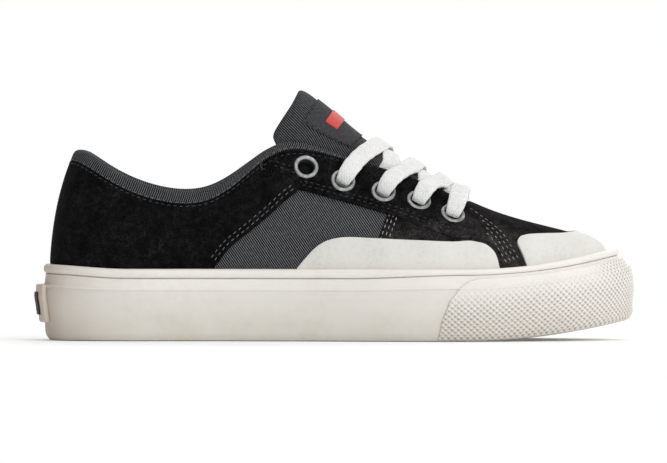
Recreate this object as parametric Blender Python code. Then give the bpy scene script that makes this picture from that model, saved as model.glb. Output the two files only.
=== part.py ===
"""A low lace-up skateboarding shoe for the right foot, built from named pieces at real size.

Metres, +Z up. The toe points to +X and the outer (lateral) side to -Y. The origin lies on the
floor, midway along and across the shoe. The shoe is described by stations that run once round
it, as a lap that goes from 0 at the back of the heel along the lateral side to the toe, and
back along the medial side to 1. At each station a rib rises from the feather edge, where the
upper meets the sole, to the collar or the throat.
"""

import bpy
import numpy as np
from mathutils import Matrix, Vector
from mathutils.geometry import delaunay_2d_cdt

# Main sizes of the shoe
SOLE_LENGTH = 0.2940
BALL_WIDTH = 0.1090
HEEL_WIDTH = 0.0790
HEEL_COLLAR_HEIGHT = 0.0945
COLLAR_DIP_HEIGHT = 0.0745
INSTEP_HEIGHT = 0.0980
VAMP_HEIGHT = 0.0700
TONGUE_HEIGHT = 0.1245
TOE_SPRING = 0.0098
GAP = 0.0003

# Sizes of the sole
BOARD_HEIGHT = 0.0175
OUTSOLE_THICKNESS = 0.0055
INSOLE_THICKNESS = 0.0045
FOXING_HEIGHT = 0.0312
FOXING_THICKNESS = 0.0045
FOXING_FOOT = 0.0090
STRIP_HEIGHT = 0.0048
STRIP_THICKNESS = 0.0032
TOE_SETBACK = 0.0036
TOE_RISE = 0.0014
SPRING_START = 0.725
BUMPER_THICKNESS = 0.0018
TAB_THICKNESS = 0.0024
TAB_HEIGHT = 0.0190
TAB_BASE = 0.0090
LABEL_THICKNESS = 0.0006
LABEL_MARGIN = 0.0038
GROOVE_WIDTH = 0.0026
GROOVE_DEPTH = 0.0022
GROOVE_PITCH = 0.0115

# Sizes of the upper
UPPER_WALL = 0.0022
UPPER_TUCK = 0.0009
TOE_TUCK = 0.0002
COLLAR_PAD = 0.0036
OVERLAY_THICKNESS = 0.0012
OVERLAY_LIFT = 0.0005
SEAM_GAP = 0.0011
BINDING_WIDTH = 0.0062
TONGUE_THICKNESS = 0.0042
TONGUE_CLEARANCE = 0.0013
EYELET_RADIUS = 0.0062
EYELET_BORE = 0.0041
EYELET_TUBE = 0.0005
EYELET_FLANGE = 0.0009
EYELET_SEAT = 0.0007
EYELET_DEPTH = 0.0042
LACE_WIDTH = 0.0080
LACE_THICKNESS = 0.0024
LACE_CLEARANCE = 0.0008

# How finely the faceted solids are cut
LAPS = 64
RISES = 8
EDGE_STEP = 0.0066
ROUND_SIDES = 10
SMALL = 1e-4

HEEL_X = (TAB_THICKNESS + LABEL_THICKNESS + 2 * GAP - SOLE_LENGTH - BUMPER_THICKNESS) / 2
LEVELS = {"heel": HEEL_COLLAR_HEIGHT, "dip": COLLAR_DIP_HEIGHT,
          "instep": INSTEP_HEIGHT, "vamp": VAMP_HEIGHT}

# One row for each station. out_x and out_y place the sole's outline, as shares of its length
# and of the width there. edge_x, edge_y and edge_z place the collar or throat edge, as shares
# of sole length, ball width and the named level. The handles bend the rib between them: the
# outward ones are shares of ball width, the upward and downward ones of the rib's own rise.
STATIONS = (
    # name            out_x  out_y   edge_x  edge_y  level     edge_z low_out low_up high_out high_down
    ("heel_back",     0.000, 0.000,  0.062,  0.000,  "heel",   1.000, 0.012, 0.40, 0.085, 0.26),
    ("heel_corner_l", 0.022, -0.280, 0.078, -0.140,  "heel",   0.986, 0.012, 0.40, 0.070, 0.26),
    ("heel_side_l",   0.085, -0.450, 0.118, -0.225,  "heel",   0.905, 0.012, 0.42, 0.040, 0.28),
    ("collar_l",      0.180, -0.500, 0.184, -0.272,  "dip",    1.030, 0.010, 0.45, 0.035, 0.30),
    ("collar_dip_l",  0.285, -0.480, 0.270, -0.295,  "dip",    1.000, 0.008, 0.45, 0.038, 0.30),
    ("ankle_l",       0.395, -0.465, 0.343, -0.300,  "instep", 0.880, 0.009, 0.45, 0.055, 0.30),
    ("quarter_l",     0.505, -0.470, 0.420, -0.265,  "instep", 1.003, 0.014, 0.42, 0.095, 0.26),
    ("waist_l",       0.605, -0.492, 0.510, -0.225,  "instep", 0.935, 0.018, 0.42, 0.130, 0.24),
    ("ball_l",        0.690, -0.500, 0.582, -0.188,  "instep", 0.868, 0.020, 0.42, 0.170, 0.20),
    ("little_toe_l",  0.775, -0.470, 0.643, -0.145,  "instep", 0.800, 0.024, 0.46, 0.210, 0.19),
    ("toe_side_l",    0.865, -0.385, 0.690, -0.100,  "vamp",   1.040, 0.034, 0.54, 0.270, 0.24),
    ("toe_corner_l",  0.942, -0.245, 0.714, -0.058,  "vamp",   1.006, 0.046, 0.66, 0.330, 0.36),
    ("toe_front_l",   0.984, -0.095, 0.7215, -0.020, "vamp",   1.000, 0.056, 0.74, 0.370, 0.44),
    ("toe_tip",       1.000, 0.045,  0.7225, 0.016,  "vamp",   1.000, 0.060, 0.76, 0.375, 0.46),
    ("toe_front_m",   0.988, 0.185,  0.718,  0.048,  "vamp",   1.002, 0.056, 0.74, 0.360, 0.44),
    ("toe_corner_m",  0.950, 0.310,  0.702,  0.082,  "vamp",   1.012, 0.046, 0.66, 0.320, 0.36),
    ("toe_side_m",    0.885, 0.420,  0.672,  0.118,  "vamp",   1.065, 0.036, 0.56, 0.270, 0.24),
    ("big_toe_m",     0.800, 0.482,  0.625,  0.155,  "instep", 0.822, 0.026, 0.48, 0.215, 0.19),
    ("ball_m",        0.715, 0.500,  0.572,  0.190,  "instep", 0.878, 0.020, 0.44, 0.175, 0.20),
    ("joint_m",       0.620, 0.475,  0.505,  0.224,  "instep", 0.940, 0.016, 0.44, 0.135, 0.24),
    ("waist_m",       0.515, 0.425,  0.422,  0.262,  "instep", 1.003, 0.006, 0.44, 0.095, 0.26),
    ("arch_m",        0.410, 0.405,  0.350,  0.292,  "instep", 0.895, 0.001, 0.45, 0.055, 0.30),
    ("collar_dip_m",  0.300, 0.430,  0.276,  0.290,  "dip",    1.012, 0.000, 0.45, 0.038, 0.30),
    ("collar_m",      0.190, 0.480,  0.190,  0.270,  "dip",    1.030, 0.004, 0.45, 0.035, 0.30),
    ("heel_side_m",   0.090, 0.448,  0.120,  0.225,  "heel",   0.905, 0.012, 0.42, 0.040, 0.28),
    ("heel_corner_m", 0.022, 0.280,  0.078,  0.140,  "heel",   0.986, 0.012, 0.40, 0.070, 0.26),
)
STEEP_HANDLE = 0.12  # below this outward handle a rib ends upright, and leans along the outline's normal

# Profile of the sole's side wall: height as a share of FOXING_HEIGHT, and inset from the outline
# along the sides and at the toe, as shares of FOXING_THICKNESS.
WALL_PROFILE = (
    # height side   toe
    (0.013, 0.93, 0.85),
    (0.064, 0.67, 0.60),
    (0.290, 0.40, 0.22),
    (0.545, 0.16, 0.10),
    (0.755, 0.00, 0.32),
    (0.810, 0.06, 0.46),
    (0.840, 0.29, 0.76),
    (0.915, 0.44, 1.06),
    (1.000, 0.42, 1.16),
)
# The toe bumper's outer face: height as above, and how far its thickness stands proud of the
# wall at its rear ends and at the toe, as shares of BUMPER_THICKNESS.
BUMPER_PROFILE = (
    # height end   toe
    (0.018, 0.55, 0.70),
    (0.110, 0.80, 1.05),
    (0.385, 0.85, 1.00),
    (0.580, 0.85, 0.95),
    (0.770, 0.85, 1.00),
    (0.885, 1.05, 1.45),
    (0.965, 0.85, 1.10),
)
# The bumper's rear edge: height as above, and place along the sole as a share of its length.
BUMPER_REAR = ((0.0, 0.673), (0.32, 0.680), (0.63, 0.693), (0.82, 0.710), (0.91, 0.725), (0.97, 0.750))
# The top strip: height as a share of STRIP_HEIGHT, inset as a share of STRIP_THICKNESS.
STRIP_PROFILE = ((0.00, 0.30), (0.30, 0.06), (0.62, 0.00), (0.90, 0.22), (1.00, 0.60))

# Outlines of the overlays in the side view: place along the sole as a share of SOLE_LENGTH, and
# height as a share of INSTEP_HEIGHT. Each runs from the strip upwards and round to the strip.
QUARTER_FRONT = ((0.293, 0.375), (0.321, 0.492), (0.360, 0.597), (0.398, 0.691), (0.430, 0.755),
                 (0.424, 0.812), (0.398, 0.846), (0.374, 0.868))
GUARD = ((0.436, 0.373), (0.453, 0.434), (0.468, 0.478), (0.483, 0.509), (0.506, 0.527),
         (0.562, 0.524), (0.640, 0.511), (0.700, 0.504), (0.735, 0.503), (0.756, 0.485),
         (0.768, 0.452), (0.774, 0.417), (0.777, 0.385))
STAY_LOWER = ((0.782, 0.385), (0.780, 0.423), (0.773, 0.464), (0.759, 0.499), (0.735, 0.517),
              (0.702, 0.519), (0.657, 0.569), (0.605, 0.628), (0.540, 0.685), (0.485, 0.732),
              (0.438, 0.768), (0.428, 0.822), (0.400, 0.858), (0.378, 0.880))
STAY_FRONT = ((0.729, 0.669), (0.754, 0.622), (0.782, 0.558), (0.802, 0.482), (0.819, 0.394))
TOE_CAP = ((0.821, 0.394), (0.815, 0.441), (0.807, 0.497), (0.811, 0.518), (0.821, 0.526),
           (0.835, 0.530), (0.858, 0.531), (0.882, 0.531))
TOE_CAP_CENTRE = 0.907
EYELET_PLACES = ((0.450, 0.879), (0.513, 0.809), (0.581, 0.751), (0.641, 0.707), (0.698, 0.637))
BINDING_END = 0.520

# The tongue, front to top: place along its length, where its sides meet the throat edge as a
# share of sole length, their rise on the ribs, depth of its wings below the throat edge, and the
# ridge's place and height as shares of sole length and tongue height.
TONGUE_ROWS = (
    # place edge_x  rise   wing    ridge_x ridge_z
    (0.00, 0.718,  0.930, 0.0030, 0.756,  0.500),
    (0.11, 0.702,  0.990, 0.0050, 0.722,  0.535),
    (0.28, 0.655,  1.000, 0.0110, 0.668,  0.630),
    (0.49, 0.582,  1.000, 0.0180, 0.604,  0.727),
    (0.68, 0.510,  1.000, 0.0230, 0.546,  0.815),
    (0.92, 0.420,  1.000, 0.0200, 0.470,  0.962),
    (1.00, 0.420,  1.000, 0.0100, 0.4456, 1.000),
)
TONGUE_SHOULDER = (0.30, 0.74, 0.30)
TONGUE_TOP_SHIFT = (-0.0055, 0.0045, 0.0072)

# Where each crossing's strands pass over one throat edge and under the other, and where the bar
# passes over both edges and rests over the tongue, as shares of sole length.
LACE_CROSSINGS = ((0.522, 0.556), (0.592, 0.620), (0.653, 0.668))
LACE_BAR = 0.708
LACE_BAR_REST = 0.690
LACE_BAR_LIFT = 0.0024


def smooth_step(value, start, end):
    """0 before start, 1 after end, and a smooth ramp between them."""
    share = np.clip((np.asarray(value, float) - start) / (end - start), 0.0, 1.0)
    return share * share * (3.0 - 2.0 * share)


def closed_spline(knots, values):
    """A smooth closed curve that meets row i of values at knots[i] of a lap that ends at 1."""
    knots, values = np.asarray(knots, float), np.asarray(values, float)
    spans = np.diff(np.append(knots, knots[0] + 1.0))
    before = np.roll(spans, 1)
    here = np.arange(len(knots))
    system = np.zeros((len(knots), len(knots)))
    system[here, here] = 2.0 * (before + spans)
    system[here, here - 1] += before
    system[here, (here + 1) % len(knots)] += spans
    slopes = (np.roll(values, -1, 0) - values) / spans[:, None]
    bends = np.linalg.solve(system, 6.0 * (slopes - np.roll(slopes, 1, 0)))

    def at(lap):
        lap = np.mod(np.asarray(lap, float), 1.0)
        cell = np.searchsorted(knots, lap, side="right") - 1
        after = (cell + 1) % len(knots)
        span = spans[cell][..., None]
        high = (lap - knots[cell])[..., None] / span
        low = 1.0 - high
        curve = (low**3 - low) * bends[cell] + (high**3 - high) * bends[after]
        return low * values[cell] + high * values[after] + curve * span**2 / 6.0

    return at


def open_spline(knots, values):
    """A smooth open curve (Catmull-Rom slopes) that meets row i of values at knots[i]."""
    knots, values = np.asarray(knots, float), np.asarray(values, float)
    slopes = np.gradient(values, knots, axis=0)

    def at(place):
        place = np.clip(np.asarray(place, float), knots[0], knots[-1])
        cell = np.clip(np.searchsorted(knots, place, side="right") - 1, 0, len(knots) - 2)
        span = (knots[cell + 1] - knots[cell])[..., None]
        share = (place - knots[cell])[..., None] / span
        rest = 1.0 - share
        return (values[cell] * rest**2 * (1 + 2 * share) + values[cell + 1] * share**2 * (3 - 2 * share)
                + span * (slopes[cell] * share * rest**2 - slopes[cell + 1] * share**2 * rest))

    return at


def along_sole(x):
    """Place along the sole as a share of its length."""
    return (np.asarray(x, float) - HEEL_X) / SOLE_LENGTH


def spring(x):
    """How far the sole's underside lifts off the floor at x."""
    share = np.clip((along_sole(x) - SPRING_START) / (1.0 - SPRING_START), 0.0, 1.05)
    return TOE_SPRING * share**1.8


def toe_share(x):
    """0 along the sides, 1 at the toe, for what sets back there."""
    return smooth_step(along_sole(x), 0.80, 1.0)


def station_outline():
    """The outline's points, one for each station."""
    points = []
    for _, out_x, out_y, *_ in STATIONS:
        width = HEEL_WIDTH + (BALL_WIDTH - HEEL_WIDTH) * smooth_step(out_x, 0.20, 0.65)
        points.append((HEEL_X + out_x * SOLE_LENGTH, out_y * width))
    return np.array(points)


OUTLINE_POINTS = station_outline()
SPACING = np.linalg.norm(np.roll(OUTLINE_POINTS, -1, 0) - OUTLINE_POINTS, axis=1)
GIRTH = SPACING.sum()
KNOTS = np.concatenate(([0.0], np.cumsum(SPACING)[:-1])) / GIRTH
TOE_LAP = KNOTS[[row[0] for row in STATIONS].index("toe_tip")]
outline = closed_spline(KNOTS, OUTLINE_POINTS)


def outward(lap):
    """The outline's outward normal in plan."""
    along = outline(np.asarray(lap) + SMALL) - outline(np.asarray(lap) - SMALL)
    return np.stack((along[..., 1], -along[..., 0]), -1) / np.linalg.norm(along, axis=-1, keepdims=True)


def inset_outline(lap, inset):
    """The outline moved inwards by inset."""
    return outline(lap) - outward(lap) * np.asarray(inset, float)[..., None]


def feather_inset(lap):
    """Inset of the upper's outer face where it stands inside the foxing."""
    return FOXING_THICKNESS + GAP + UPPER_TUCK + (TOE_SETBACK + TOE_TUCK) * toe_share(outline(lap)[..., 0])


def rib_controls():
    """The four control points of each station's rib."""
    laps = KNOTS
    foot = inset_outline(laps, feather_inset(laps))
    foot_z = BOARD_HEIGHT + GAP + spring(foot[:, 0])
    normals = outward(laps)
    rows = []
    for i, row in enumerate(STATIONS):
        _, _, _, edge_x, edge_y, level, edge_z, low_out, low_up, high_out, high_down = row
        edge = np.array((HEEL_X + edge_x * SOLE_LENGTH, edge_y * BALL_WIDTH, LEVELS[level] * edge_z))
        base = np.array((*foot[i], foot_z[i]))
        rise = edge[2] - base[2]
        away = base[:2] - edge[:2]
        away = normals[i] if high_out < STEEP_HANDLE else away / np.linalg.norm(away)
        low = base + np.array((*(normals[i] * low_out * BALL_WIDTH), low_up * rise))
        high = edge + np.array((*(away * high_out * BALL_WIDTH), -high_down * rise))
        rows.append(np.concatenate((base, low, high, edge)))
    return np.array(rows)


ribs = closed_spline(KNOTS, rib_controls())


def surface(lap, rise):
    """A point on the upper's outer face: rise goes from 0 at the feather edge to 1 at the top edge."""
    lap, rise = np.broadcast_arrays(np.asarray(lap, float), np.asarray(rise, float))
    controls = ribs(lap)
    rest = 1.0 - rise
    weights = (rest**3, 3 * rest**2 * rise, 3 * rest * rise**2, rise**3)
    return sum(weight[..., None] * controls[..., 3 * i:3 * i + 3] for i, weight in enumerate(weights))


def normal(lap, rise):
    """The upper's outward normal."""
    lap, rise = np.broadcast_arrays(np.asarray(lap, float), np.asarray(rise, float))
    round_shoe = surface(lap + SMALL, rise) - surface(lap - SMALL, rise)
    up = surface(lap, np.minimum(rise + SMALL, 1.0)) - surface(lap, np.maximum(rise - SMALL, 0.0))
    across = np.cross(round_shoe, up)
    return across / np.linalg.norm(across, axis=-1, keepdims=True)


def lifted(lap, rise, lift):
    """A point of the upper's outer face moved along its normal by lift."""
    return surface(lap, rise) + normal(lap, rise) * np.asarray(lift, float)[..., None]


def wall(lap, rise):
    """Thickness of the upper: the plain wall, and the padding round the collar."""
    from_heel = np.minimum(np.mod(lap, 1.0), 1.0 - np.mod(lap, 1.0))
    padded = 1.0 - smooth_step(from_heel, 0.225, 0.275)
    padded = padded * smooth_step(rise, 0.50, 0.80) * (1.0 - 0.45 * smooth_step(rise, 0.90, 1.0))
    return UPPER_WALL + COLLAR_PAD * padded


RIB_SAMPLES = np.linspace(0.0, 1.0, 201)


def rise_below_edge(lap, distance):
    """Rise of the point that lies distance below the top edge, measured along the rib."""
    points = surface(lap, RIB_SAMPLES)
    steps = np.linalg.norm(np.diff(points, axis=0), axis=1)
    to_edge = np.append(np.cumsum(steps[::-1])[::-1], 0.0)
    return float(np.interp(-distance, -to_edge, RIB_SAMPLES))


def strip_top(x):
    """Height of the top strip's upper edge above the floor."""
    return spring(x) + FOXING_HEIGHT + GAP + STRIP_HEIGHT + TOE_RISE * toe_share(x)


def rise_at_strip(lap):
    """Rise at which the rib leaves the top strip."""
    points = surface(lap, RIB_SAMPLES)
    above = points[:, 2] - strip_top(points[:, 0]) - 2 * GAP
    return float(np.interp(0.0, above, RIB_SAMPLES))


def side_grid(lateral):
    """Samples of one side of the upper, for finding points by their place in the side view."""
    laps = np.linspace(0.0, TOE_LAP, 400) if lateral else np.linspace(TOE_LAP, 1.0, 400)
    laps, rises = np.meshgrid(laps, np.linspace(0.0, 1.0, 160), indexing="ij")
    return laps, rises, surface(laps, rises)


SIDES = {True: side_grid(True), False: side_grid(False)}


def edge_lap(share_x, lateral):
    """Lap at which the collar or throat edge is at a place along the sole."""
    laps = np.linspace(0.12, TOE_LAP, 200) if lateral else np.linspace(0.88, TOE_LAP, 200)
    return float(np.interp(share_x, along_sole(surface(laps, 1.0)[:, 0]), laps))


def on_side(share_x, share_z, lateral):
    """(lap, rise) of the upper's point at a place in the side view."""
    laps, rises, points = SIDES[lateral]
    away = np.hypot(points[..., 0] - HEEL_X - share_x * SOLE_LENGTH,
                    points[..., 2] - share_z * INSTEP_HEIGHT)
    nearest = np.unravel_index(away.argmin(), away.shape)
    return laps[nearest], rises[nearest]


def sole_lap(share_x, lateral):
    """Lap at which the sole's outline is at a place along its length."""
    laps = SIDES[lateral][0][:, 0]
    places = along_sole(outline(laps)[:, 0])
    return float(np.interp(share_x, places, laps) if lateral else np.interp(-share_x, -places, laps))


# Flat patterns: a sheet's outline lies in the unrolled upper, where x is the lap and y the rise,
# both scaled to metres. A slight slant makes every sheet split its squares the same way.
PATTERN_X = GIRTH
PATTERN_Y = 0.090
PATTERN_SLANT = 0.06


def to_pattern(points):
    """(lap, rise) to the flat pattern."""
    points = np.asarray(points, float)
    return np.stack((points[:, 0] * PATTERN_X + PATTERN_SLANT * points[:, 1] * PATTERN_Y,
                     points[:, 1] * PATTERN_Y), -1)


def resample(points, step, closed=False):
    """Points along a polyline, about a step of the pattern apart, with its corners kept as ends."""
    points = np.asarray(points, float)
    if closed:
        points = np.vstack((points, points[:1]))
    lengths = np.append(0.0, np.cumsum(np.linalg.norm(np.diff(to_pattern(points), axis=0), axis=1)))
    count = max(1, round(lengths[-1] / step))
    return np.stack([np.interp(np.linspace(0, lengths[-1], count + 1), lengths, points[:, i])
                     for i in range(2)], -1)


def curve_through(points, step):
    """A smooth line through (lap, rise) points, resampled."""
    points = np.asarray(points, float)
    lengths = np.append(0.0, np.cumsum(np.linalg.norm(np.diff(to_pattern(points), axis=0), axis=1)))
    fine = open_spline(lengths, points)(np.linspace(0, lengths[-1], 12 * len(points)))
    return resample(fine, step)


def joined(*lines):
    """One closed outline from lines that follow each other, with no point twice."""
    points = [lines[0][0]]
    for point in np.vstack(lines):
        if np.linalg.norm(to_pattern([point]) - to_pattern([points[-1]])) > 0.4 * EDGE_STEP:
            points.append(point)
    if np.linalg.norm(to_pattern([points[0]]) - to_pattern([points[-1]])) < 0.4 * EDGE_STEP:
        points.pop()
    return np.array(points)


def circle_on(lap, rise, radius, sides=ROUND_SIDES):
    """A circle of real radius round a point of the upper, as (lap, rise) points."""
    round_shoe = (surface(lap + SMALL, rise) - surface(lap - SMALL, rise)) / (2 * SMALL)
    up = (surface(lap, rise + SMALL) - surface(lap, rise - SMALL)) / (2 * SMALL)
    first = round_shoe / np.linalg.norm(round_shoe)
    second = np.cross(normal(lap, rise), first)
    frame = np.array(((round_shoe @ first, up @ first), (round_shoe @ second, up @ second)))
    turns = np.arange(sides) * 2 * np.pi / sides
    offsets = np.linalg.solve(frame, radius * np.stack((np.cos(turns), np.sin(turns))))
    return np.stack((lap + offsets[0], rise + offsets[1]), -1)


def inside(points, loop):
    """Which points lie inside a closed loop."""
    crossings = np.zeros(len(points), bool)
    for (x0, y0), (x1, y1) in zip(loop, np.roll(loop, -1, 0)):
        spans = (y0 > points[:, 1]) != (y1 > points[:, 1])
        at = x0 + (points[:, 1] - y0) * (x1 - x0) / (y1 - y0 if y1 != y0 else 1.0)
        crossings ^= spans & (points[:, 0] < at)
    return crossings


def distance_to(points, loop):
    """Shortest distance from each point to a closed loop."""
    best = np.full(len(points), np.inf)
    for start, end in zip(loop, np.roll(loop, -1, 0)):
        line = end - start
        share = np.clip(((points - start) @ line) / max(line @ line, 1e-18), 0.0, 1.0)
        best = np.minimum(best, np.linalg.norm(points - start - share[:, None] * line, axis=1))
    return best


def triangulate(loops, fill, clear):
    """Triangles of the region inside the first loop and outside the others, with fill points in it."""
    keep = inside(fill, loops[0])
    for loop in loops[1:]:
        keep &= ~inside(fill, loop)
    for loop in loops:
        keep &= distance_to(fill, loop) > clear
    points = np.vstack((*loops, fill[keep]))
    edges, start = [], 0
    for loop in loops:
        edges += [(start + i, start + (i + 1) % len(loop)) for i in range(len(loop))]
        start += len(loop)
    found, _, faces, origins, *_ = delaunay_2d_cdt([Vector(p) for p in points], edges, [], 0, 1e-9)
    assert len(found) == len(points), "an outline crosses itself or has a point twice"
    order = [origin[0] for origin in origins]
    faces = np.array([[order[i] for i in face] for face in faces])
    middles = points[faces].mean(1)
    real = inside(middles, loops[0])
    for loop in loops[1:]:
        real &= ~inside(middles, loop)
    faces = faces[real]
    corners = points[faces]
    area = np.cross(corners[:, 1] - corners[:, 0], corners[:, 2] - corners[:, 0])
    faces[area < 0] = faces[area < 0][:, ::-1]
    return points, faces[np.abs(area) > 1e-9]


def rim_edges(faces):
    """Directed edges that belong to one triangle alone."""
    edges = np.concatenate([faces[:, [0, 1]], faces[:, [1, 2]], faces[:, [2, 0]]])
    seen = {tuple(edge) for edge in edges}
    return [(a, b) for a, b in edges if (b, a) not in seen]


def material(name, colour, roughness, metallic=0.0):
    """A plain Principled material."""
    made = bpy.data.materials.get(name) or bpy.data.materials.new(name)
    made.use_nodes = True
    shader = made.node_tree.nodes["Principled BSDF"]
    shader.inputs["Base Color"].default_value = (*colour, 1.0)
    shader.inputs["Roughness"].default_value = roughness
    shader.inputs["Metallic"].default_value = metallic
    return made


def solid(name, points, faces, look):
    """A named object from points and faces."""
    mesh = bpy.data.meshes.new(name)
    mesh.from_pydata([tuple(map(float, p)) for p in points], [], [tuple(map(int, f)) for f in faces])
    mesh.validate()
    mesh.materials.append(look)
    made = bpy.data.objects.new(name, mesh)
    bpy.context.scene.collection.objects.link(made)
    return made


def two_faced(outer, inner, faces):
    """Points and faces of a closed sheet between two like sets of points."""
    count = len(outer)
    walls = []
    for a, b in rim_edges(faces):
        walls += [(a, a + count, b), (b, a + count, b + count)]
    return np.vstack((outer, inner)), np.vstack((faces, faces[:, ::-1] + count, np.array(walls)))


FILL = np.stack(np.meshgrid(np.arange(-LAPS // 2, LAPS) / LAPS,
                            np.arange(1, RISES) / RISES, indexing="ij"), -1).reshape(-1, 2)


def sheet(name, outlines, look, lift=OVERLAY_LIFT, thickness=OVERLAY_THICKNESS):
    """An overlay on the upper, from its flat outline and the outlines of its holes."""
    loops = [to_pattern(loop) for loop in outlines]
    points, faces = triangulate(loops, to_pattern(FILL), 0.45 * EDGE_STEP)
    rise = points[:, 1] / PATTERN_Y
    lap = (points[:, 0] - PATTERN_SLANT * points[:, 1]) / PATTERN_X
    outer = lifted(lap, rise, np.full(len(lap), lift + thickness))
    inner = lifted(lap, rise, np.full(len(lap), lift))
    return solid(name, *two_faced(outer, inner, faces), look)


def strip_line(start, end, step=EDGE_STEP):
    """The line along the top strip's upper edge, from one lap to another."""
    count = max(1, round(abs(end - start) * PATTERN_X / step))
    laps = np.linspace(start, end, count + 1)
    return np.array([(lap, rise_at_strip(lap)) for lap in laps])


def edge_line(start, end, depth, step=EDGE_STEP):
    """A line that keeps depth(share) below the top edge, from one lap to another."""
    count = max(1, round(abs(end - start) * PATTERN_X / step))
    shares = np.linspace(0.0, 1.0, count + 1)
    return np.array([(start + (end - start) * share, rise_below_edge(start + (end - start) * share,
                                                                     depth(share))) for share in shares])


def placed(table, lateral):
    """An overlay's side view outline as (lap, rise) points, kept above the strip."""
    points = np.array([on_side(x, z, lateral) for x, z in table])
    points[:, 1] = np.maximum(points[:, 1], [rise_at_strip(lap) for lap in points[:, 0]])
    return points


EYELETS = {side: [on_side(x, z, side) for x, z in EYELET_PLACES] for side in (True, False)}
HOLE_RADIUS = EYELET_BORE + EYELET_TUBE + 2 * GAP


def eyelet_holes(lateral):
    """The outlines of the eyelet holes on one side."""
    return [circle_on(lap, rise, HOLE_RADIUS) for lap, rise in EYELETS[lateral]]


def build_upper(look):
    """The hollow upper: one wall from the feather edge to the collar and throat edge."""
    step_laps = np.arange(LAPS + 1) / LAPS
    rises = np.arange(1, RISES) / RISES
    frame = np.vstack((np.stack((step_laps, np.zeros(LAPS + 1)), -1),
                       np.stack((np.ones(RISES - 1), rises), -1),
                       np.stack((step_laps[::-1], np.ones(LAPS + 1)), -1),
                       np.stack((np.zeros(RISES - 1), rises[::-1]), -1)))
    holes = eyelet_holes(True) + eyelet_holes(False)
    loops = [to_pattern(loop) for loop in (frame, *holes)]
    points, faces = triangulate(loops, to_pattern(FILL[(FILL[:, 0] > 0) & (FILL[:, 0] < 1)]),
                                0.30 * EDGE_STEP)
    rise = points[:, 1] / PATTERN_Y
    lap = (points[:, 0] - PATTERN_SLANT * points[:, 1]) / PATTERN_X
    # The seam at the back of the heel is closed: what lies on lap 1 is what lies on lap 0.
    key = {}
    twin = np.arange(len(points))
    for i in np.flatnonzero(lap < SMALL):
        key[round(rise[i], 5)] = i
    for i in np.flatnonzero(lap > 1.0 - SMALL):
        twin[i] = key[round(rise[i], 5)]
    faces = twin[faces]
    used, faces = np.unique(faces, return_inverse=True)
    faces = faces.reshape(-1, 3)
    lap, rise = lap[used], np.clip(rise[used], 0.0, 1.0)
    outer, inner = surface(lap, rise), lifted(lap, rise, -wall(lap, rise))
    inner[:, 2] = np.maximum(inner[:, 2], BOARD_HEIGHT + GAP + spring(inner[:, 0]))
    return solid("upper", *two_faced(outer, inner, faces), look)


def build_quarter(look):
    """The heel and quarter panel, which runs round the heel from side to side."""
    lateral, medial = placed(QUARTER_FRONT, True), placed(QUARTER_FRONT, False)
    medial[:, 0] -= 1.0
    front_l = curve_through(lateral[:5], EDGE_STEP)
    top_l = curve_through(lateral[4:], EDGE_STEP)
    front_m = curve_through(medial[:5], EDGE_STEP)
    top_m = curve_through(medial[4:], EDGE_STEP)
    collar = edge_line(top_l[-1][0], top_m[-1][0], lambda share: BINDING_WIDTH + SEAM_GAP)
    foot = strip_line(front_m[0][0], front_l[0][0])
    return sheet("quarter_panel", [joined(foot, front_l, top_l, collar, top_m[::-1], front_m[::-1])], look)


def binding_depth(share):
    """Width of the binding from its front end (0) to the collar (1)."""
    return BINDING_WIDTH * (0.35 + 0.65 * smooth_step(share, 0.0, 0.35))


def build_binding(look):
    """The cloth binding round the collar, from one side of the throat to the other."""
    ends = (edge_lap(BINDING_END, True), edge_lap(BINDING_END, False) - 1.0)
    lower = edge_line(*ends, lambda share: binding_depth(1.0 - abs(2 * share - 1.0)))
    upper = edge_line(*ends[::-1], lambda share: GAP)
    return sheet("collar_binding", [joined(lower, upper)], look)


def build_stay(lateral, look):
    """One eyestay: from the collar along the throat, and down in front of the side guard."""
    lower, front = placed(STAY_LOWER, lateral), placed(STAY_FRONT, lateral)
    low = curve_through(lower[:5], EDGE_STEP)
    under = curve_through(lower[5:11], EDGE_STEP)
    rear = curve_through(lower[10:], EDGE_STEP)
    ahead = curve_through(front, EDGE_STEP)
    foot = strip_line(ahead[-1][0], low[0][0])
    heel_lap = 0.0 if lateral else 1.0
    reach = abs(edge_lap(BINDING_END, lateral) - heel_lap)

    def depth(share):
        lap = rear[-1][0] + (ahead[0][0] - rear[-1][0]) * share
        place = 1.0 - abs(lap - heel_lap) / reach
        return binding_depth(place) + SEAM_GAP if place > 0 else SEAM_GAP
    throat = edge_line(rear[-1][0], ahead[0][0], depth)
    outline_points = joined(foot, low, under, rear, throat, ahead)
    name = "eyestay_lateral" if lateral else "eyestay_medial"
    return sheet(name, [outline_points, *eyelet_holes(lateral)], look)


def build_guard(lateral, look):
    """One side guard, the pale patch that rises from the strip."""
    points = placed(GUARD, lateral)
    upper = curve_through(points, EDGE_STEP)
    foot = strip_line(upper[-1][0], upper[0][0])
    return sheet("side_guard_lateral" if lateral else "side_guard_medial", [joined(upper, foot)], look)


def build_toe_cap(look):
    """The toe cap, with a rear edge that runs forward over the middle of the vamp."""
    lateral, medial = placed(TOE_CAP, True), placed(TOE_CAP, False)
    ridge = surface(TOE_LAP, RIB_SAMPLES)
    centre = (TOE_LAP, float(np.interp(-TOE_CAP_CENTRE, -along_sole(ridge[40:, 0]), RIB_SAMPLES[40:])))
    rear = curve_through(np.vstack((lateral, [centre], medial[::-1])), EDGE_STEP)
    foot = strip_line(rear[-1][0], rear[0][0])
    return sheet("toe_cap", [joined(rear, foot)], look)


def profile_at(table, share, column):
    """A profile's column at a share of the height."""
    heights = [row[0] for row in table]
    return np.interp(share, heights, [row[column] for row in table])


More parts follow.
